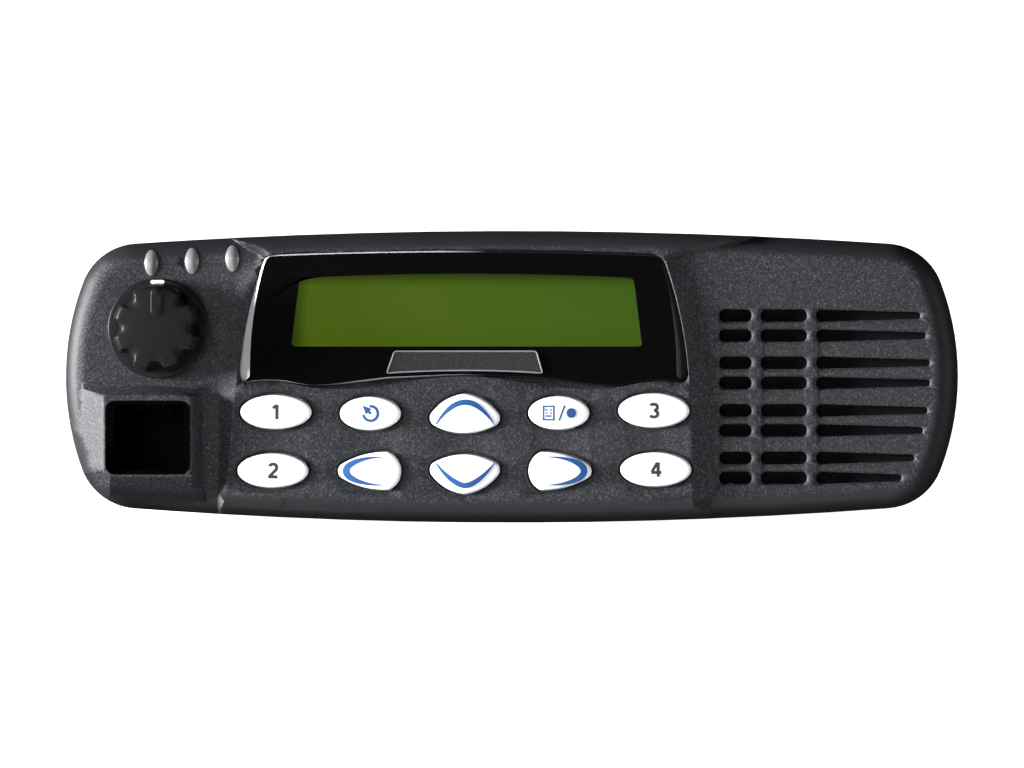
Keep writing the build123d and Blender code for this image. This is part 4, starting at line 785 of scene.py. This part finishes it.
def key_solid(name):
    """Key as rings: domed cap, rounded rim, retaining lip, and a round plunger at the back."""
    low, high = (np.array(corner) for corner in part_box(name))
    middle = np.array(KEY_CENTRES[name])
    outline = key_outline(name)
    outward = outline / np.linalg.norm(outline, axis=1)[:, None]
    dome = bpy.context.scene.radio_shape.key_dome
    edge = bpy.context.scene.radio_shape.key_edge
    lip_y = high[1] - PLUNGER_LENGTH - LIP_THICK
    rings = [
        ring(middle + (outline - outward * edge) * share, low[1] + dome * share**2)
        for share in np.linspace(0.06, 1.0, 13)]
    rings += [
        ring(middle + outline - outward * edge * (1 - math.sin(angle)),
             low[1] + dome + edge * (1 - math.cos(angle)))
        for angle in np.linspace(0.2, math.pi / 2, 7)]
    for grow, y in (
            (0.0, lip_y), (KEY_LIP - 0.15 * MM, lip_y), (KEY_LIP, lip_y + 0.15 * MM),
            (KEY_LIP, lip_y + LIP_THICK)):
        rings.append(ring(middle + outline + outward * grow, y))
    for y in (lip_y + LIP_THICK, high[1]):
        rings.append(ring(middle + outward * PLUNGER_R, y))
    return solid(rings)


def stroke(key, path, width):
    """Ink along a path of (x, z) points about a key's middle, lying on its dome.

    Each path point carries a cross-section: five points from side to side of the width, just over the
    dome, and the same five just under it on the way back.
    """
    path = np.asarray(path, dtype=float) * MM
    heading = np.gradient(path, axis=0)
    heading /= np.linalg.norm(heading, axis=1)[:, None]
    half = np.broadcast_to(np.asarray(width) * MM / 2, (len(path),))[:, None]
    side = np.stack((-heading[:, 1], heading[:, 0]), axis=-1) * half
    ink = bpy.context.scene.radio_shape.ink
    lanes = np.linspace(-1, 1, 5)
    middle = np.array(KEY_CENTRES[key])
    over = [ring(middle + path + side * lane, cap_depth(key, path + side * lane) - ink) for lane in lanes]
    under = [ring(middle + path + side * lane, cap_depth(key, path + side * lane) + ink) for lane in lanes[::-1]]
    return solid(np.stack(over + under, axis=1))


def line(*points, steps=14):
    """Points evenly spread along straight runs between corners."""
    places = np.linspace(0, len(points) - 1, steps * (len(points) - 1) + 1)
    corners = np.array(points, dtype=float)
    return np.stack([np.interp(places, np.arange(len(points)), corners[:, axis]) for axis in (0, 1)], axis=-1)


def curve(x, z, radius_x, radius_z, start, end, count=36):
    """Points on an ellipse between two angles in degrees."""
    angle = np.radians(np.linspace(start, end, count))
    return np.stack((x + radius_x * np.cos(angle), z + radius_z * np.sin(angle)), axis=-1)


def digit_paths(digit):
    """Paths of a plain digit in a box one unit high about its middle."""
    if digit == 1:
        return [line((-0.22, 0.27), (0.06, 0.46)), line((0.06, 0.5), (0.06, -0.5))]
    if digit == 2:
        bow = curve(0.0, 0.2, 0.25, 0.25, 160, -35)
        return [np.concatenate((bow, line(tuple(bow[-1]), (-0.27, -0.44))[1:])), line((-0.33, -0.44), (0.30, -0.44))]
    if digit == 3:
        return [curve(-0.03, 0.22, 0.25, 0.22, 150, -90), curve(-0.03, -0.22, 0.28, 0.23, 90, -150)]
    return [line((0.08, 0.47), (-0.30, -0.17)), line((-0.34, -0.2), (0.36, -0.2)), line((0.14, 0.5), (0.14, -0.5))]


def crescent(name):
    """Path and widths of the crescent on an arrow key, thick at its apex and thin at its ends.

    On the upright keys it is a bowed chevron, height falling with a power of the distance aside. On the
    lying keys it is half an ellipse.
    """
    way = ARROWS[name]
    share = np.linspace(-1, 1, 61)
    if way[0] == 0:
        power = 2.0 if way[1] > 0 else 1.7
        path = np.stack((5.9 * share, way[1] * (2.25 - 4.5 * np.abs(share) ** power)), axis=-1)
        return path, 0.95 * (1 - np.abs(share) ** 2.2) + 0.14
    angle = share * math.pi / 2
    path = np.stack((way[0] * (7.2 * np.cos(angle) - 3.1), 2.8 * np.sin(angle)), axis=-1)
    return path, 1.2 * np.cos(angle) ** 1.3 + 0.14


# ------------------------------------------------------------------ display window
def window_outline(count=WINDOW_AROUND):
    """Outline of the window: arched top, splayed bowed sides and a waved lower edge, corners rounded."""
    low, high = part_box("display_window")
    x = (low[0] + high[0]) / 2
    top_half, low_half, foot_z = WINDOW_TOP_HALF, WINDOW_LOW_HALF, WINDOW_FOOT_Z
    shoulder_z = high[2] - 0.85 * MM
    side_half = (top_half + low_half) / 2 + 1.1 * MM
    waves = np.array((
        (-45.0, 0.0), (-40.8, 0.75), (-36.5, 0.75), (-33.5, 0.1), (-30.5, -0.35), (-26.0, -0.1), (-15.0, 1.3),
        (0.0, 1.9), (15.0, 1.3), (26.0, -0.1), (30.5, -0.35), (33.5, 0.1), (36.5, 0.75), (40.8, 0.75), (45.0, 0.0)))
    across = np.linspace(-45.0, 45.0, 181)
    foot = np.stack((x + across * MM, foot_z + np.interp(across, waves[:, 0], waves[:, 1]) * MM), axis=-1)
    top = arc_points((x + top_half, shoulder_z), (x, high[2]), (x - top_half, shoulder_z), 120)
    left = arc_points(
        (x - top_half, shoulder_z), (x - side_half, (shoulder_z + foot_z) / 2), (x - low_half, foot_z))
    right = arc_points(
        (x + low_half, foot_z), (x + side_half, (shoulder_z + foot_z) / 2), (x + top_half, shoulder_z))
    return rounded(np.concatenate((top, left[1:], foot[1:], right[1:-1])), 2.2 * MM, count)


def drawn_in(outline, sides, ends):
    """Outline moved inwards along its own inward normal: by sides where it runs upright, by ends where
    it lies level. The shift is evened out along the outline so that it never folds at a corner."""
    heading = np.roll(outline, -1, axis=0) - np.roll(outline, 1, axis=0)
    heading /= np.linalg.norm(heading, axis=1)[:, None]
    inward = np.stack((-heading[:, 1], heading[:, 0]), axis=-1)
    share = heading[:, 1:] ** 2
    shift = inward * (share * np.asarray(sides).reshape(-1, 1) + (1 - share) * ends)
    shifts = np.arange(-6, 7)
    bell = 1 + np.cos(math.pi * shifts / 7)
    smooth_shift = np.einsum(
        "s,sij->ij", bell / bell.sum(), np.stack([np.roll(shift, step, axis=0) for step in shifts]))
    return outline + smooth_shift


def view_outline(count=WINDOW_AROUND):
    """Outline of the clear view: arched top, straight foot and sides that lean in, corners rounded."""
    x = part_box("display_window")[0][0] / 2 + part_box("display_window")[1][0] / 2 + 0.6 * MM
    foot_half, top_half = 35.1 * MM, 33.4 * MM
    foot_z, top_z, crest_z = 35.3 * MM, 49.0 * MM, 49.9 * MM
    top = arc_points((x + top_half, top_z), (x, crest_z), (x - top_half, top_z), 120)
    left = line((x - top_half, top_z), (x - foot_half, foot_z))
    foot = line((x - foot_half, foot_z), (x + foot_half, foot_z), steps=120)
    right = line((x + foot_half, foot_z), (x + top_half, top_z))
    return rounded(np.concatenate((top, left[1:], foot[1:], right[1:-1])), 1.3 * MM, count)


def matched(inner, outer):
    """The inner outline turned round its own list so that its points face those of the outer one."""
    start = np.argmin(np.linalg.norm(inner - outer[0], axis=1))
    return np.roll(inner, -start, axis=0)


# ------------------------------------------------------------------ knob
def knob_radius(angle, radius):
    """Radius of the grip at each angle: the full radius, cut back inside each hollow to the near side
    of a circle that stands on the rim. There is none at the top, where the pointer is."""
    shape = bpy.context.scene.radio_shape
    pitch = 2 * math.pi / shape.scallops
    off = (angle - math.pi / 2 + pitch / 2) % pitch - pitch / 2
    at_pointer = np.abs((angle - math.pi / 2 + math.pi) % (2 * math.pi) - math.pi) < pitch / 2
    stand = radius + SCALLOP_R - shape.scallop_depth
    inside = np.clip(SCALLOP_R**2 - (stand * np.sin(off)) ** 2, 0, None)
    hollow = stand * np.cos(off) - np.sqrt(inside)
    hollow = np.where((inside > 0) & ~at_pointer, hollow, radius)
    cut = np.minimum(radius, hollow)
    shifts = np.arange(-3, 4)
    bell = 1 + np.cos(math.pi * shifts / 4)
    return np.einsum("s,sj->j", bell / bell.sum(), np.stack([np.roll(cut, step) for step in shifts]))


# ------------------------------------------------------------------ operators
class RADIO_OT_shells(Operator):
    """Refine the large moulded and cast pieces and give them their grain"""

    bl_idname = "radio.shells"
    bl_label = "Housing and chassis"

    def execute(self, context):
        for node in (
                "front_housing", "chassis", "top_cover", "microphone_jack", "power_socket", "accessory_socket",
                "cover_screws", "head_seal", "cover_seal", "antenna_insulator"):
            refined(node)
        return {"FINISHED"}


class RADIO_OT_window(Operator):
    """Make the black window with its bevelled sides, its clear pane and the display behind it"""

    bl_idname = "radio.window"
    bl_label = "Window and display"

    def execute(self, context):
        shape = context.scene.radio_shape
        low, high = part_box("display_window")
        outline = window_outline()
        height = (outline[:, 1] - 28 * MM) / (53 * MM - 28 * MM)
        taper = 0.25 * MM + shape.bevel * np.clip(1 - height, 0, 1)
        face = drawn_in(outline, taper, 0.25 * MM)
        inner = drawn_in(face, 0.03 * MM, 0.03 * MM)
        flat = drawn_in(face, 0.12 * MM, 0.12 * MM)
        view = matched(view_outline(), outline)
        opening = drawn_in(view, -0.1 * MM, -0.1 * MM)
        front = low[1]
        edge_rings = (
            ring(outline, high[1]),
            ring(outline, front + 0.25 * MM + taper * 0.55),
            ring(face, front + 0.05 * MM),
            ring(inner, front + 0.06 * MM),
            ring(inner, high[1]),
        )
        build(
            "window_edge", [solid(edge_rings, closed=True)],
            edge_glow("edge_glow"), "display_window", 24)
        rings = (
            ring(inner, high[1]),
            ring(inner, front + 0.05 * MM),
            ring(flat, front),
            ring(opening, front),
            ring(view, front + 0.12 * MM),
            ring(view, high[1]),
        )
        bezel = build(
            "window_bezel", [solid(rings, closed=True)], finish_for("window_black"), "display_window", 24)
        weighted = bezel.modifiers.new("even shading", "WEIGHTED_NORMAL")
        weighted.keep_sharp = True
        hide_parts("display_window")
        pane = drawn_in(view, 0.02 * MM, 0.02 * MM)
        pane_rings = [ring(pane, high[1] - 0.9 * MM), ring(pane, high[1] - 0.2 * MM)]
        build(
            "window_pane", [solid(pane_rings)], clear_pane("window_clear"), "display_window")
        glass = refined("lcd_glass")
        glass.data.materials[0] = finish_for("display_glass")
        return {"FINISHED"}


class RADIO_OT_badge(Operator):
    """Make the bare plate below the display, with its raised light border"""

    bl_idname = "radio.badge"
    bl_label = "Bare plate"

    def execute(self, context):
        low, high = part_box("badge_plate")
        x = (low[0] + high[0]) / 2
        foot_half, top_half = (high[0] - low[0]) / 2, 14.3 * MM
        foot = arc_points(
            (x - foot_half, low[2] + 0.05 * MM), (x, low[2] + 0.6 * MM), (x + foot_half, low[2] + 0.05 * MM), 90)
        top = line((x + top_half, high[2]), (x - top_half, high[2]), steps=90)
        outline = rounded(np.concatenate((foot[:-1], top)), 0.9 * MM, 240)
        inner = drawn_in(outline, 0.3 * MM, 0.3 * MM)
        face_y = low[1] + 0.1 * MM
        face = [ring(inner, high[1]), ring(inner, face_y), ring(shrunk(inner, 0.5), face_y)]
        plate = build(
            "badge_face", [solid(face)], finish_for("badge_grey"), "badge_plate")
        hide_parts("badge_plate")
        border = [
            ring(outline, high[1]), ring(outline, low[1] + 0.08 * MM),
            ring(drawn_in(outline, 0.08 * MM, 0.08 * MM), low[1]), ring(drawn_in(outline, 0.2 * MM, 0.2 * MM), low[1]),
            ring(inner, face_y), ring(inner, high[1])]
        build(
            "badge_border", [solid(border, closed=True)], moulded_plastic("badge_rim", (0.17, 0.18, 0.19), 0.35),
            "badge_plate")
        return {"FINISHED"}


def shrunk(outline, share):
    """Outline drawn towards its own middle to a share of its size."""
    middle = outline.mean(axis=0)
    return middle + (outline - middle) * share


class RADIO_OT_keys(Operator):
    """Make the ten domed key caps"""

    bl_idname = "radio.keys"
    bl_label = "Key caps"

    def execute(self, context):
        for name in KEY_CENTRES:
            cap = build(f"{name}_cap", [key_solid(name)], finish_for("key_white"), name, 38)
            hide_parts(name)
        return {"FINISHED"}


class RADIO_OT_legends(Operator):
    """Print the digits, arrows and small symbols on the keys"""

    bl_idname = "radio.legends"
    bl_label = "Legends"

    def execute(self, context):
        settings = context.scene.radio_finish
        digit_ink = printed_ink("digit_ink", settings.legend[:])
        arrow_ink = printed_ink("arrow_ink", settings.arrow[:])
        symbol_ink = printed_ink("symbol_ink", settings.symbol[:])
        tall = context.scene.radio_shape.digit_height / MM
        for digit in (1, 2, 3, 4):
            key = f"key_{digit}"
            strokes = [stroke(key, path * tall, 0.62) for path in digit_paths(digit)]
            build(f"{key}_digit", strokes, digit_ink, key)
        for key in ARROWS:
            path, width = crescent(key)
            build(f"{key}_crescent", [stroke(key, path, width)], arrow_ink, key)
        head = line((-0.35, 0.35), (-1.5, 1.5))
        back = [
            stroke("key_back", curve(0, 0, 1.45, 1.45, 98, -172, 60), 0.52),
            stroke("key_back", line((0.1, -0.1), (-0.8, 0.8)), 0.5),
            stroke("key_back", head, np.linspace(1.6, 0.12, len(head))),
        ]
        build("key_back_symbol", back, symbol_ink, "key_back")
        page = [
            line((-3.2, 1.35), (-1.0, 1.35)), line((-3.2, -1.35), (-1.0, -1.35)), line((-3.15, 1.5), (-3.15, -1.5)),
            line((-1.05, 1.5), (-1.05, -1.5)), line((-2.75, 0.6), (-2.3, 0.6)), line((-1.9, 0.6), (-1.45, 0.6)),
            line((-2.75, 0.0), (-2.3, 0.0)), line((-1.9, 0.0), (-1.45, 0.0)), line((-2.75, -0.6), (-1.45, -0.6)),
            line((0.0, -1.5), (1.1, 1.5))]
        menu = [stroke("key_menu", path, 0.34) for path in page]
        share = np.linspace(-1, 1, 33)
        menu.append(stroke(
            "key_menu", np.stack((2.45 + 0.98 * share, 0 * share), axis=-1), 1.96 * np.sqrt(1.0001 - share**2)))
        build("key_menu_symbol", menu, symbol_ink, "key_menu")
        return {"FINISHED"}


class RADIO_OT_knob(Operator):
    """Make the volume knob: skirt, hollowed grip, domed face, pointer rib and white mark"""

    bl_idname = "radio.knob"
    bl_label = "Volume knob"

    def execute(self, context):
        low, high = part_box("volume_knob")
        x, z = (low[0] + high[0]) / 2, (low[2] + high[2]) / 2
        middle = np.array((x, z))
        angle = np.linspace(0, 2 * math.pi, KNOB_AROUND, endpoint=False)
        way = turn(KNOB_AROUND)
        skirt_r = (high[0] - low[0]) / 2
        skirt_y = high[1] - 2.2 * MM
        face_y = low[1] + 0.4 * MM
        rings = [ring(middle + way * skirt_r * 0.6, high[1]), ring(middle + way * (skirt_r - 0.15 * MM), high[1])]
        for part in np.linspace(0, math.pi / 2, 6):
            rings.append(ring(
                middle + way * (skirt_r - 0.45 * MM * (1 - math.cos(part))),
                skirt_y + 0.45 * MM * (1 - math.sin(part))))
        grip_y = np.linspace(skirt_y, face_y + 0.9 * MM, 10)
        for y in grip_y:
            share = (skirt_y - y) / (skirt_y - face_y)
            radius = knob_radius(angle, GRIP_R - (GRIP_R - FACE_R) * share)
            rings.append(ring(middle + way * radius[:, None], y))
        edge = 0.9 * MM
        for part in np.linspace(0.2, math.pi / 2, 7):
            radius = knob_radius(angle, FACE_R) - edge * (1 - math.cos(part))
            rings.append(ring(middle + way * radius[:, None], face_y + edge * (1 - math.sin(part))))
        rim = knob_radius(angle, FACE_R) - edge
        for share in np.linspace(0.94, 0.05, 14):
            round_share = share**3
            radius = rim * round_share + (8.0 * MM) * (1 - round_share)
            rings.append(ring(middle + way * (radius * share)[:, None], face_y - 0.22 * MM * (1 - share**2)))
        knob = build(
            "knob_grip", [solid(rings)], finish_for("knob_plastic"), "volume_knob", 40)
        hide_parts("volume_knob")
        half_w, half_l, mid = 1.05 * MM, 2.8 * MM, 5.2 * MM
        caps = turn(60)
        rib = caps * half_w + np.stack((np.zeros(60), np.sign(caps[:, 1]) * (half_l - half_w)), axis=-1)
        rib = middle + (0, mid) + rib
        rib_rings = [
            ring(rib, face_y + 0.2 * MM), ring(rib, low[1] + 0.12 * MM),
            ring(shrunk(rib, 0.9), low[1]), ring(shrunk(rib, 0.3), low[1])]
        build(
            "knob_pointer", [solid(rib_rings)], finish_for("knob_plastic"), "volume_knob")
        mark = caps * 0.34 * MM + np.stack((np.sign(caps[:, 0]) * 1.05 * MM, np.zeros(60)), axis=-1)
        mark = middle + (0, skirt_r - 0.72 * MM) + mark
        mark_rings = [
            ring(mark, skirt_y + 0.05 * MM), ring(mark, skirt_y - 0.03 * MM),
            ring(shrunk(mark, 0.4), skirt_y - 0.05 * MM)]
        build(
            "knob_mark", [solid(mark_rings)], printed_ink("mark_ink", (0.85, 0.86, 0.86)),
            "volume_knob")
        return {"FINISHED"}


class RADIO_OT_lights(Operator):
    """Make the three clear status lights, domed over the rounded edge of the head"""

    bl_idname = "radio.lights"
    bl_label = "Status lights"

    def execute(self, context):
        low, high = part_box("status_light_pipe")
        lenses, rims = [], []
        for x, z in LIGHT_CENTRES:
            middle = np.array((x, z))
            outline = turn(64) * (1.35 * MM, 2.65 * MM)
            rings = [
                head_face(middle + outline * share, 0.5 * MM * (1 - share**2) + 0.12 * MM)
                for share in np.linspace(0.06, 0.98, 10)]
            rings.append(head_face(middle + outline, 0.0))
            rings.append(ring(middle + outline, high[1]))
            lenses.append(solid(rings))
            rims.append(solid(
                [head_face(middle + outline * 1.0, 0.06 * MM), head_face(middle + outline * 1.16, 0.04 * MM),
                 head_face(middle + outline * 1.16, -0.5 * MM), head_face(middle + outline * 1.0, -0.5 * MM)],
                closed=True))
        lens = build(
            "status_lenses", lenses, finish_for("pipe_clear"), "status_light_pipe")
        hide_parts("status_light_pipe")
        build(
            "status_rims", rims, moulded_plastic("rim_black", (0.008, 0.008, 0.009), 0.4),
            "front_housing")
        return {"FINISHED"}


def head_face(points, lift):
    """Ring that lies on the head's rounded face, raised off it by lift.

    The face is flat up to a rounding of radius EDGE_R below the top arc, and there it falls back along
    a quarter circle.
    """
    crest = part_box("front_housing")[1][2]
    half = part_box("front_housing")[1][0] - BOW_SIDE
    top = crest - BOW_TOP * (points[:, 0] / half) ** 2
    over = np.clip(points[:, 1] - (top - EDGE_R), 0, EDGE_R * 0.995)
    depth = SIDE_Y + EDGE_R - np.sqrt(EDGE_R**2 - over**2)
    return ring(points, depth - lift)


class RADIO_OT_antenna(Operator):
    """Make the threaded antenna socket on the back"""

    bl_idname = "radio.antenna"
    bl_label = "Antenna socket"

    def execute(self, context):
        low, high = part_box("antenna_socket")
        middle = np.array(((low[0] + high[0]) / 2, (low[2] + high[2]) / 2))
        angle = np.linspace(0, 2 * math.pi, 96, endpoint=False)
        way = turn(96)
        wall_y = high[1] - 7.5 * MM
        half_flat = (high[2] - low[2]) / 2
        six = half_flat / np.cos((angle + math.pi / 6) % (math.pi / 3) - math.pi / 6)
        if (high[0] - low[0]) < (high[2] - low[2]):
            six = (high[0] - low[0]) / 2 / np.cos(angle % (math.pi / 3) - math.pi / 6)
        hexagon = way * np.minimum(six, half_flat * 1.13)[:, None]
        rings = [
            ring(middle + way * 3.2 * MM, low[1]), ring(middle + way * 5.5 * MM, low[1]),
            ring(middle + way * 5.5 * MM, wall_y), ring(middle + hexagon * 0.985, wall_y),
            ring(middle + hexagon, wall_y + 0.2 * MM), ring(middle + hexagon, wall_y + 1.8 * MM),
            ring(middle + hexagon * 0.97, wall_y + 2.0 * MM), ring(middle + way * 4.4 * MM, wall_y + 2.0 * MM)]
        pitch = 0.95 * MM
        for y in np.arange(wall_y + 2.05 * MM, high[1] - 0.45 * MM, pitch / 8):
            saw = np.abs(((y / pitch + angle / (2 * math.pi)) % 1) * 2 - 1)
            rings.append(ring(middle + way * (4.42 * MM + 0.33 * MM * saw)[:, None], y))
        rings += [ring(middle + way * 4.3 * MM, high[1] - 0.1 * MM), ring(middle + way * 4.1 * MM, high[1]),
                  ring(middle + way * 3.2 * MM, high[1])]
        socket = build(
            "antenna_barrel", [solid(rings, closed=True)], finish_for("antenna_nickel"),
            "antenna_socket")
        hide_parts("antenna_socket")
        return {"FINISHED"}


class RADIO_OT_inside(Operator):
    """Give every carried piece its own finish, except the jack's contacts, which are painted near black as shade
    inside the opening
    """

    bl_idname = "radio.inside"
    bl_label = "Other pieces"

    def execute(self, context):
        # painted shade: the jack's gold contacts get a near-black metal so that the opening reads as deep shade
        shaded = brushed_metal("shaded_contact", (0.012, 0.011, 0.009), 0.6)
        for node, piece in frame["nodes"].items():
            if not piece.hide_render:
                piece.data.materials.clear()
                piece.data.materials.append(
                    shaded if node == "jack_contacts" else finish_for(SLOT_OF[node]))
        return {"FINISHED"}


class RADIO_OT_stage(Operator):
    """Set up the pale sweep, the soft lights and the camera"""

    bl_idname = "radio.stage"
    bl_label = "Stage"

    def execute(self, context):
        settings = context.scene.radio_stage
        scene = context.scene
        bend = np.linspace(0.1, math.pi / 2, 14)
        profile = np.concatenate((
            [(-3.2, 0.0), (WALL_START, 0.0)],
            np.stack((WALL_START + WALL_TURN * np.sin(bend), WALL_TURN - WALL_TURN * np.cos(bend)), axis=-1),
            [(WALL_START + WALL_TURN, 1.4)]))
        sides = np.array((-1.6, 1.6))
        points = np.stack([
            np.stack((np.full(len(profile), side), profile[:, 0], profile[:, 1]), axis=-1) for side in sides])
        count = len(profile)
        faces = [(step, step + 1, count + step + 1, count + step) for step in range(count - 1)]
        mesh = bpy.data.meshes.new("studio_sweep")
        mesh.from_pydata(points.reshape(-1, 3).tolist(), [], [face[::-1] for face in faces])
        mesh.shade_smooth()
        mesh.materials.append(paper_white(settings.floor[:]))
        sweep = bpy.data.objects.new("studio_sweep", mesh)
        scene.collection.objects.link(sweep)
        sweep.visible_glossy = False
        sweep.visible_diffuse = False
        sweep.visible_shadow = False
        for name, place, size, power in (
                ("left_softbox", (-1.78, -0.46, 0.22), 0.6, settings.key_light),
                ("front_softbox", (-0.9, -2.3, 0.25), 0.8, settings.fill_light),
                ("right_card", (1.5, -0.75, 0.1), 0.5, settings.rim_light * 0.7),
                ("low_card", (0.1, -1.1, -0.9), 0.6, settings.rim_light)):
            lamp = bpy.data.lights.new(name, "AREA")
            lamp.shape = "DISK"
            lamp.size = size
            lamp.energy = power
            light = bpy.data.objects.new(name, lamp)
            light.location = place
            light.rotation_euler = (Vector(AIM) - Vector(place)).to_track_quat("-Z", "Y").to_euler()
            scene.collection.objects.link(light)
        world = bpy.data.worlds.new("studio_air")
        world.use_nodes = True
        world.node_tree.nodes["Background"].inputs["Color"].default_value = (0.9, 0.95, 1.0, 1)
        world.node_tree.nodes["Background"].inputs["Strength"].default_value = settings.air
        scene.world = world
        lens = bpy.data.cameras.new("front_camera")
        camera = bpy.data.objects.new("front_camera", lens)
        camera.location = (0, SIDE_Y - settings.distance, settings.eye)
        camera.rotation_euler = (math.pi / 2, 0, 0)
        lens.sensor_width = SENSOR
        lens.lens = SENSOR * settings.distance / settings.width
        lens.clip_end = 20
        scene.collection.objects.link(camera)
        scene.camera = camera
        scene.view_settings.view_transform = "Standard"
        return {"FINISHED"}


def paper_white(colour):
    """Pale paper with a barely visible cloud, lit a little from behind so that it stays white."""
    finish = Finish("studio_paper")
    cloud = finish.noise(0.5, 1.0)
    paper = finish.blend(tinted(colour, 0.98), tinted(colour, 1.02), cloud)
    return finish.surface({
        "Base Color": paper,
        "Roughness": 0.9,
        "Specular IOR Level": 0.1,
        "Emission Color": paper,
        "Emission Strength": 1.2,
    })


# ------------------------------------------------------------------ panel and registration
STEPS = ("shells", "window", "badge", "keys", "legends", "knob", "lights", "antenna", "inside", "stage")


class RADIO_PT_panel(Panel):
    """Lists the steps that finish the radio"""

    bl_idname = "RADIO_PT_panel"
    bl_label = "Radio finish"
    bl_space_type = "VIEW_3D"
    bl_region_type = "UI"
    bl_category = "Radio"

    def draw(self, context):
        scene = context.scene
        for group in (scene.radio_finish, scene.radio_shape, scene.radio_stage):
            box = self.layout.box()
            for name in group.__annotations__:
                box.prop(group, name)
        for step in STEPS:
            self.layout.operator(f"radio.{step}")


CLASSES = (
    RadioFinish, RadioShape, RadioStage, RADIO_OT_shells, RADIO_OT_window, RADIO_OT_badge, RADIO_OT_keys,
    RADIO_OT_legends, RADIO_OT_knob, RADIO_OT_lights, RADIO_OT_antenna, RADIO_OT_inside, RADIO_OT_stage,
    RADIO_PT_panel)


def register():
    for kind in CLASSES:
        bpy.utils.register_class(kind)
    bpy.types.Scene.radio_finish = PointerProperty(type=RadioFinish)
    bpy.types.Scene.radio_shape = PointerProperty(type=RadioShape)
    bpy.types.Scene.radio_stage = PointerProperty(type=RadioStage)


def unregister():
    del bpy.types.Scene.radio_stage
    del bpy.types.Scene.radio_shape
    del bpy.types.Scene.radio_finish
    for kind in reversed(CLASSES):
        bpy.utils.unregister_class(kind)


def corners(box):
    """The two corners of a box as plain lists."""
    return [[float(number) for number in corner] for corner in box]


def main():
    register()
    for step in STEPS:
        getattr(bpy.ops.radio, step)()


if __name__ == "__main__":
    main()
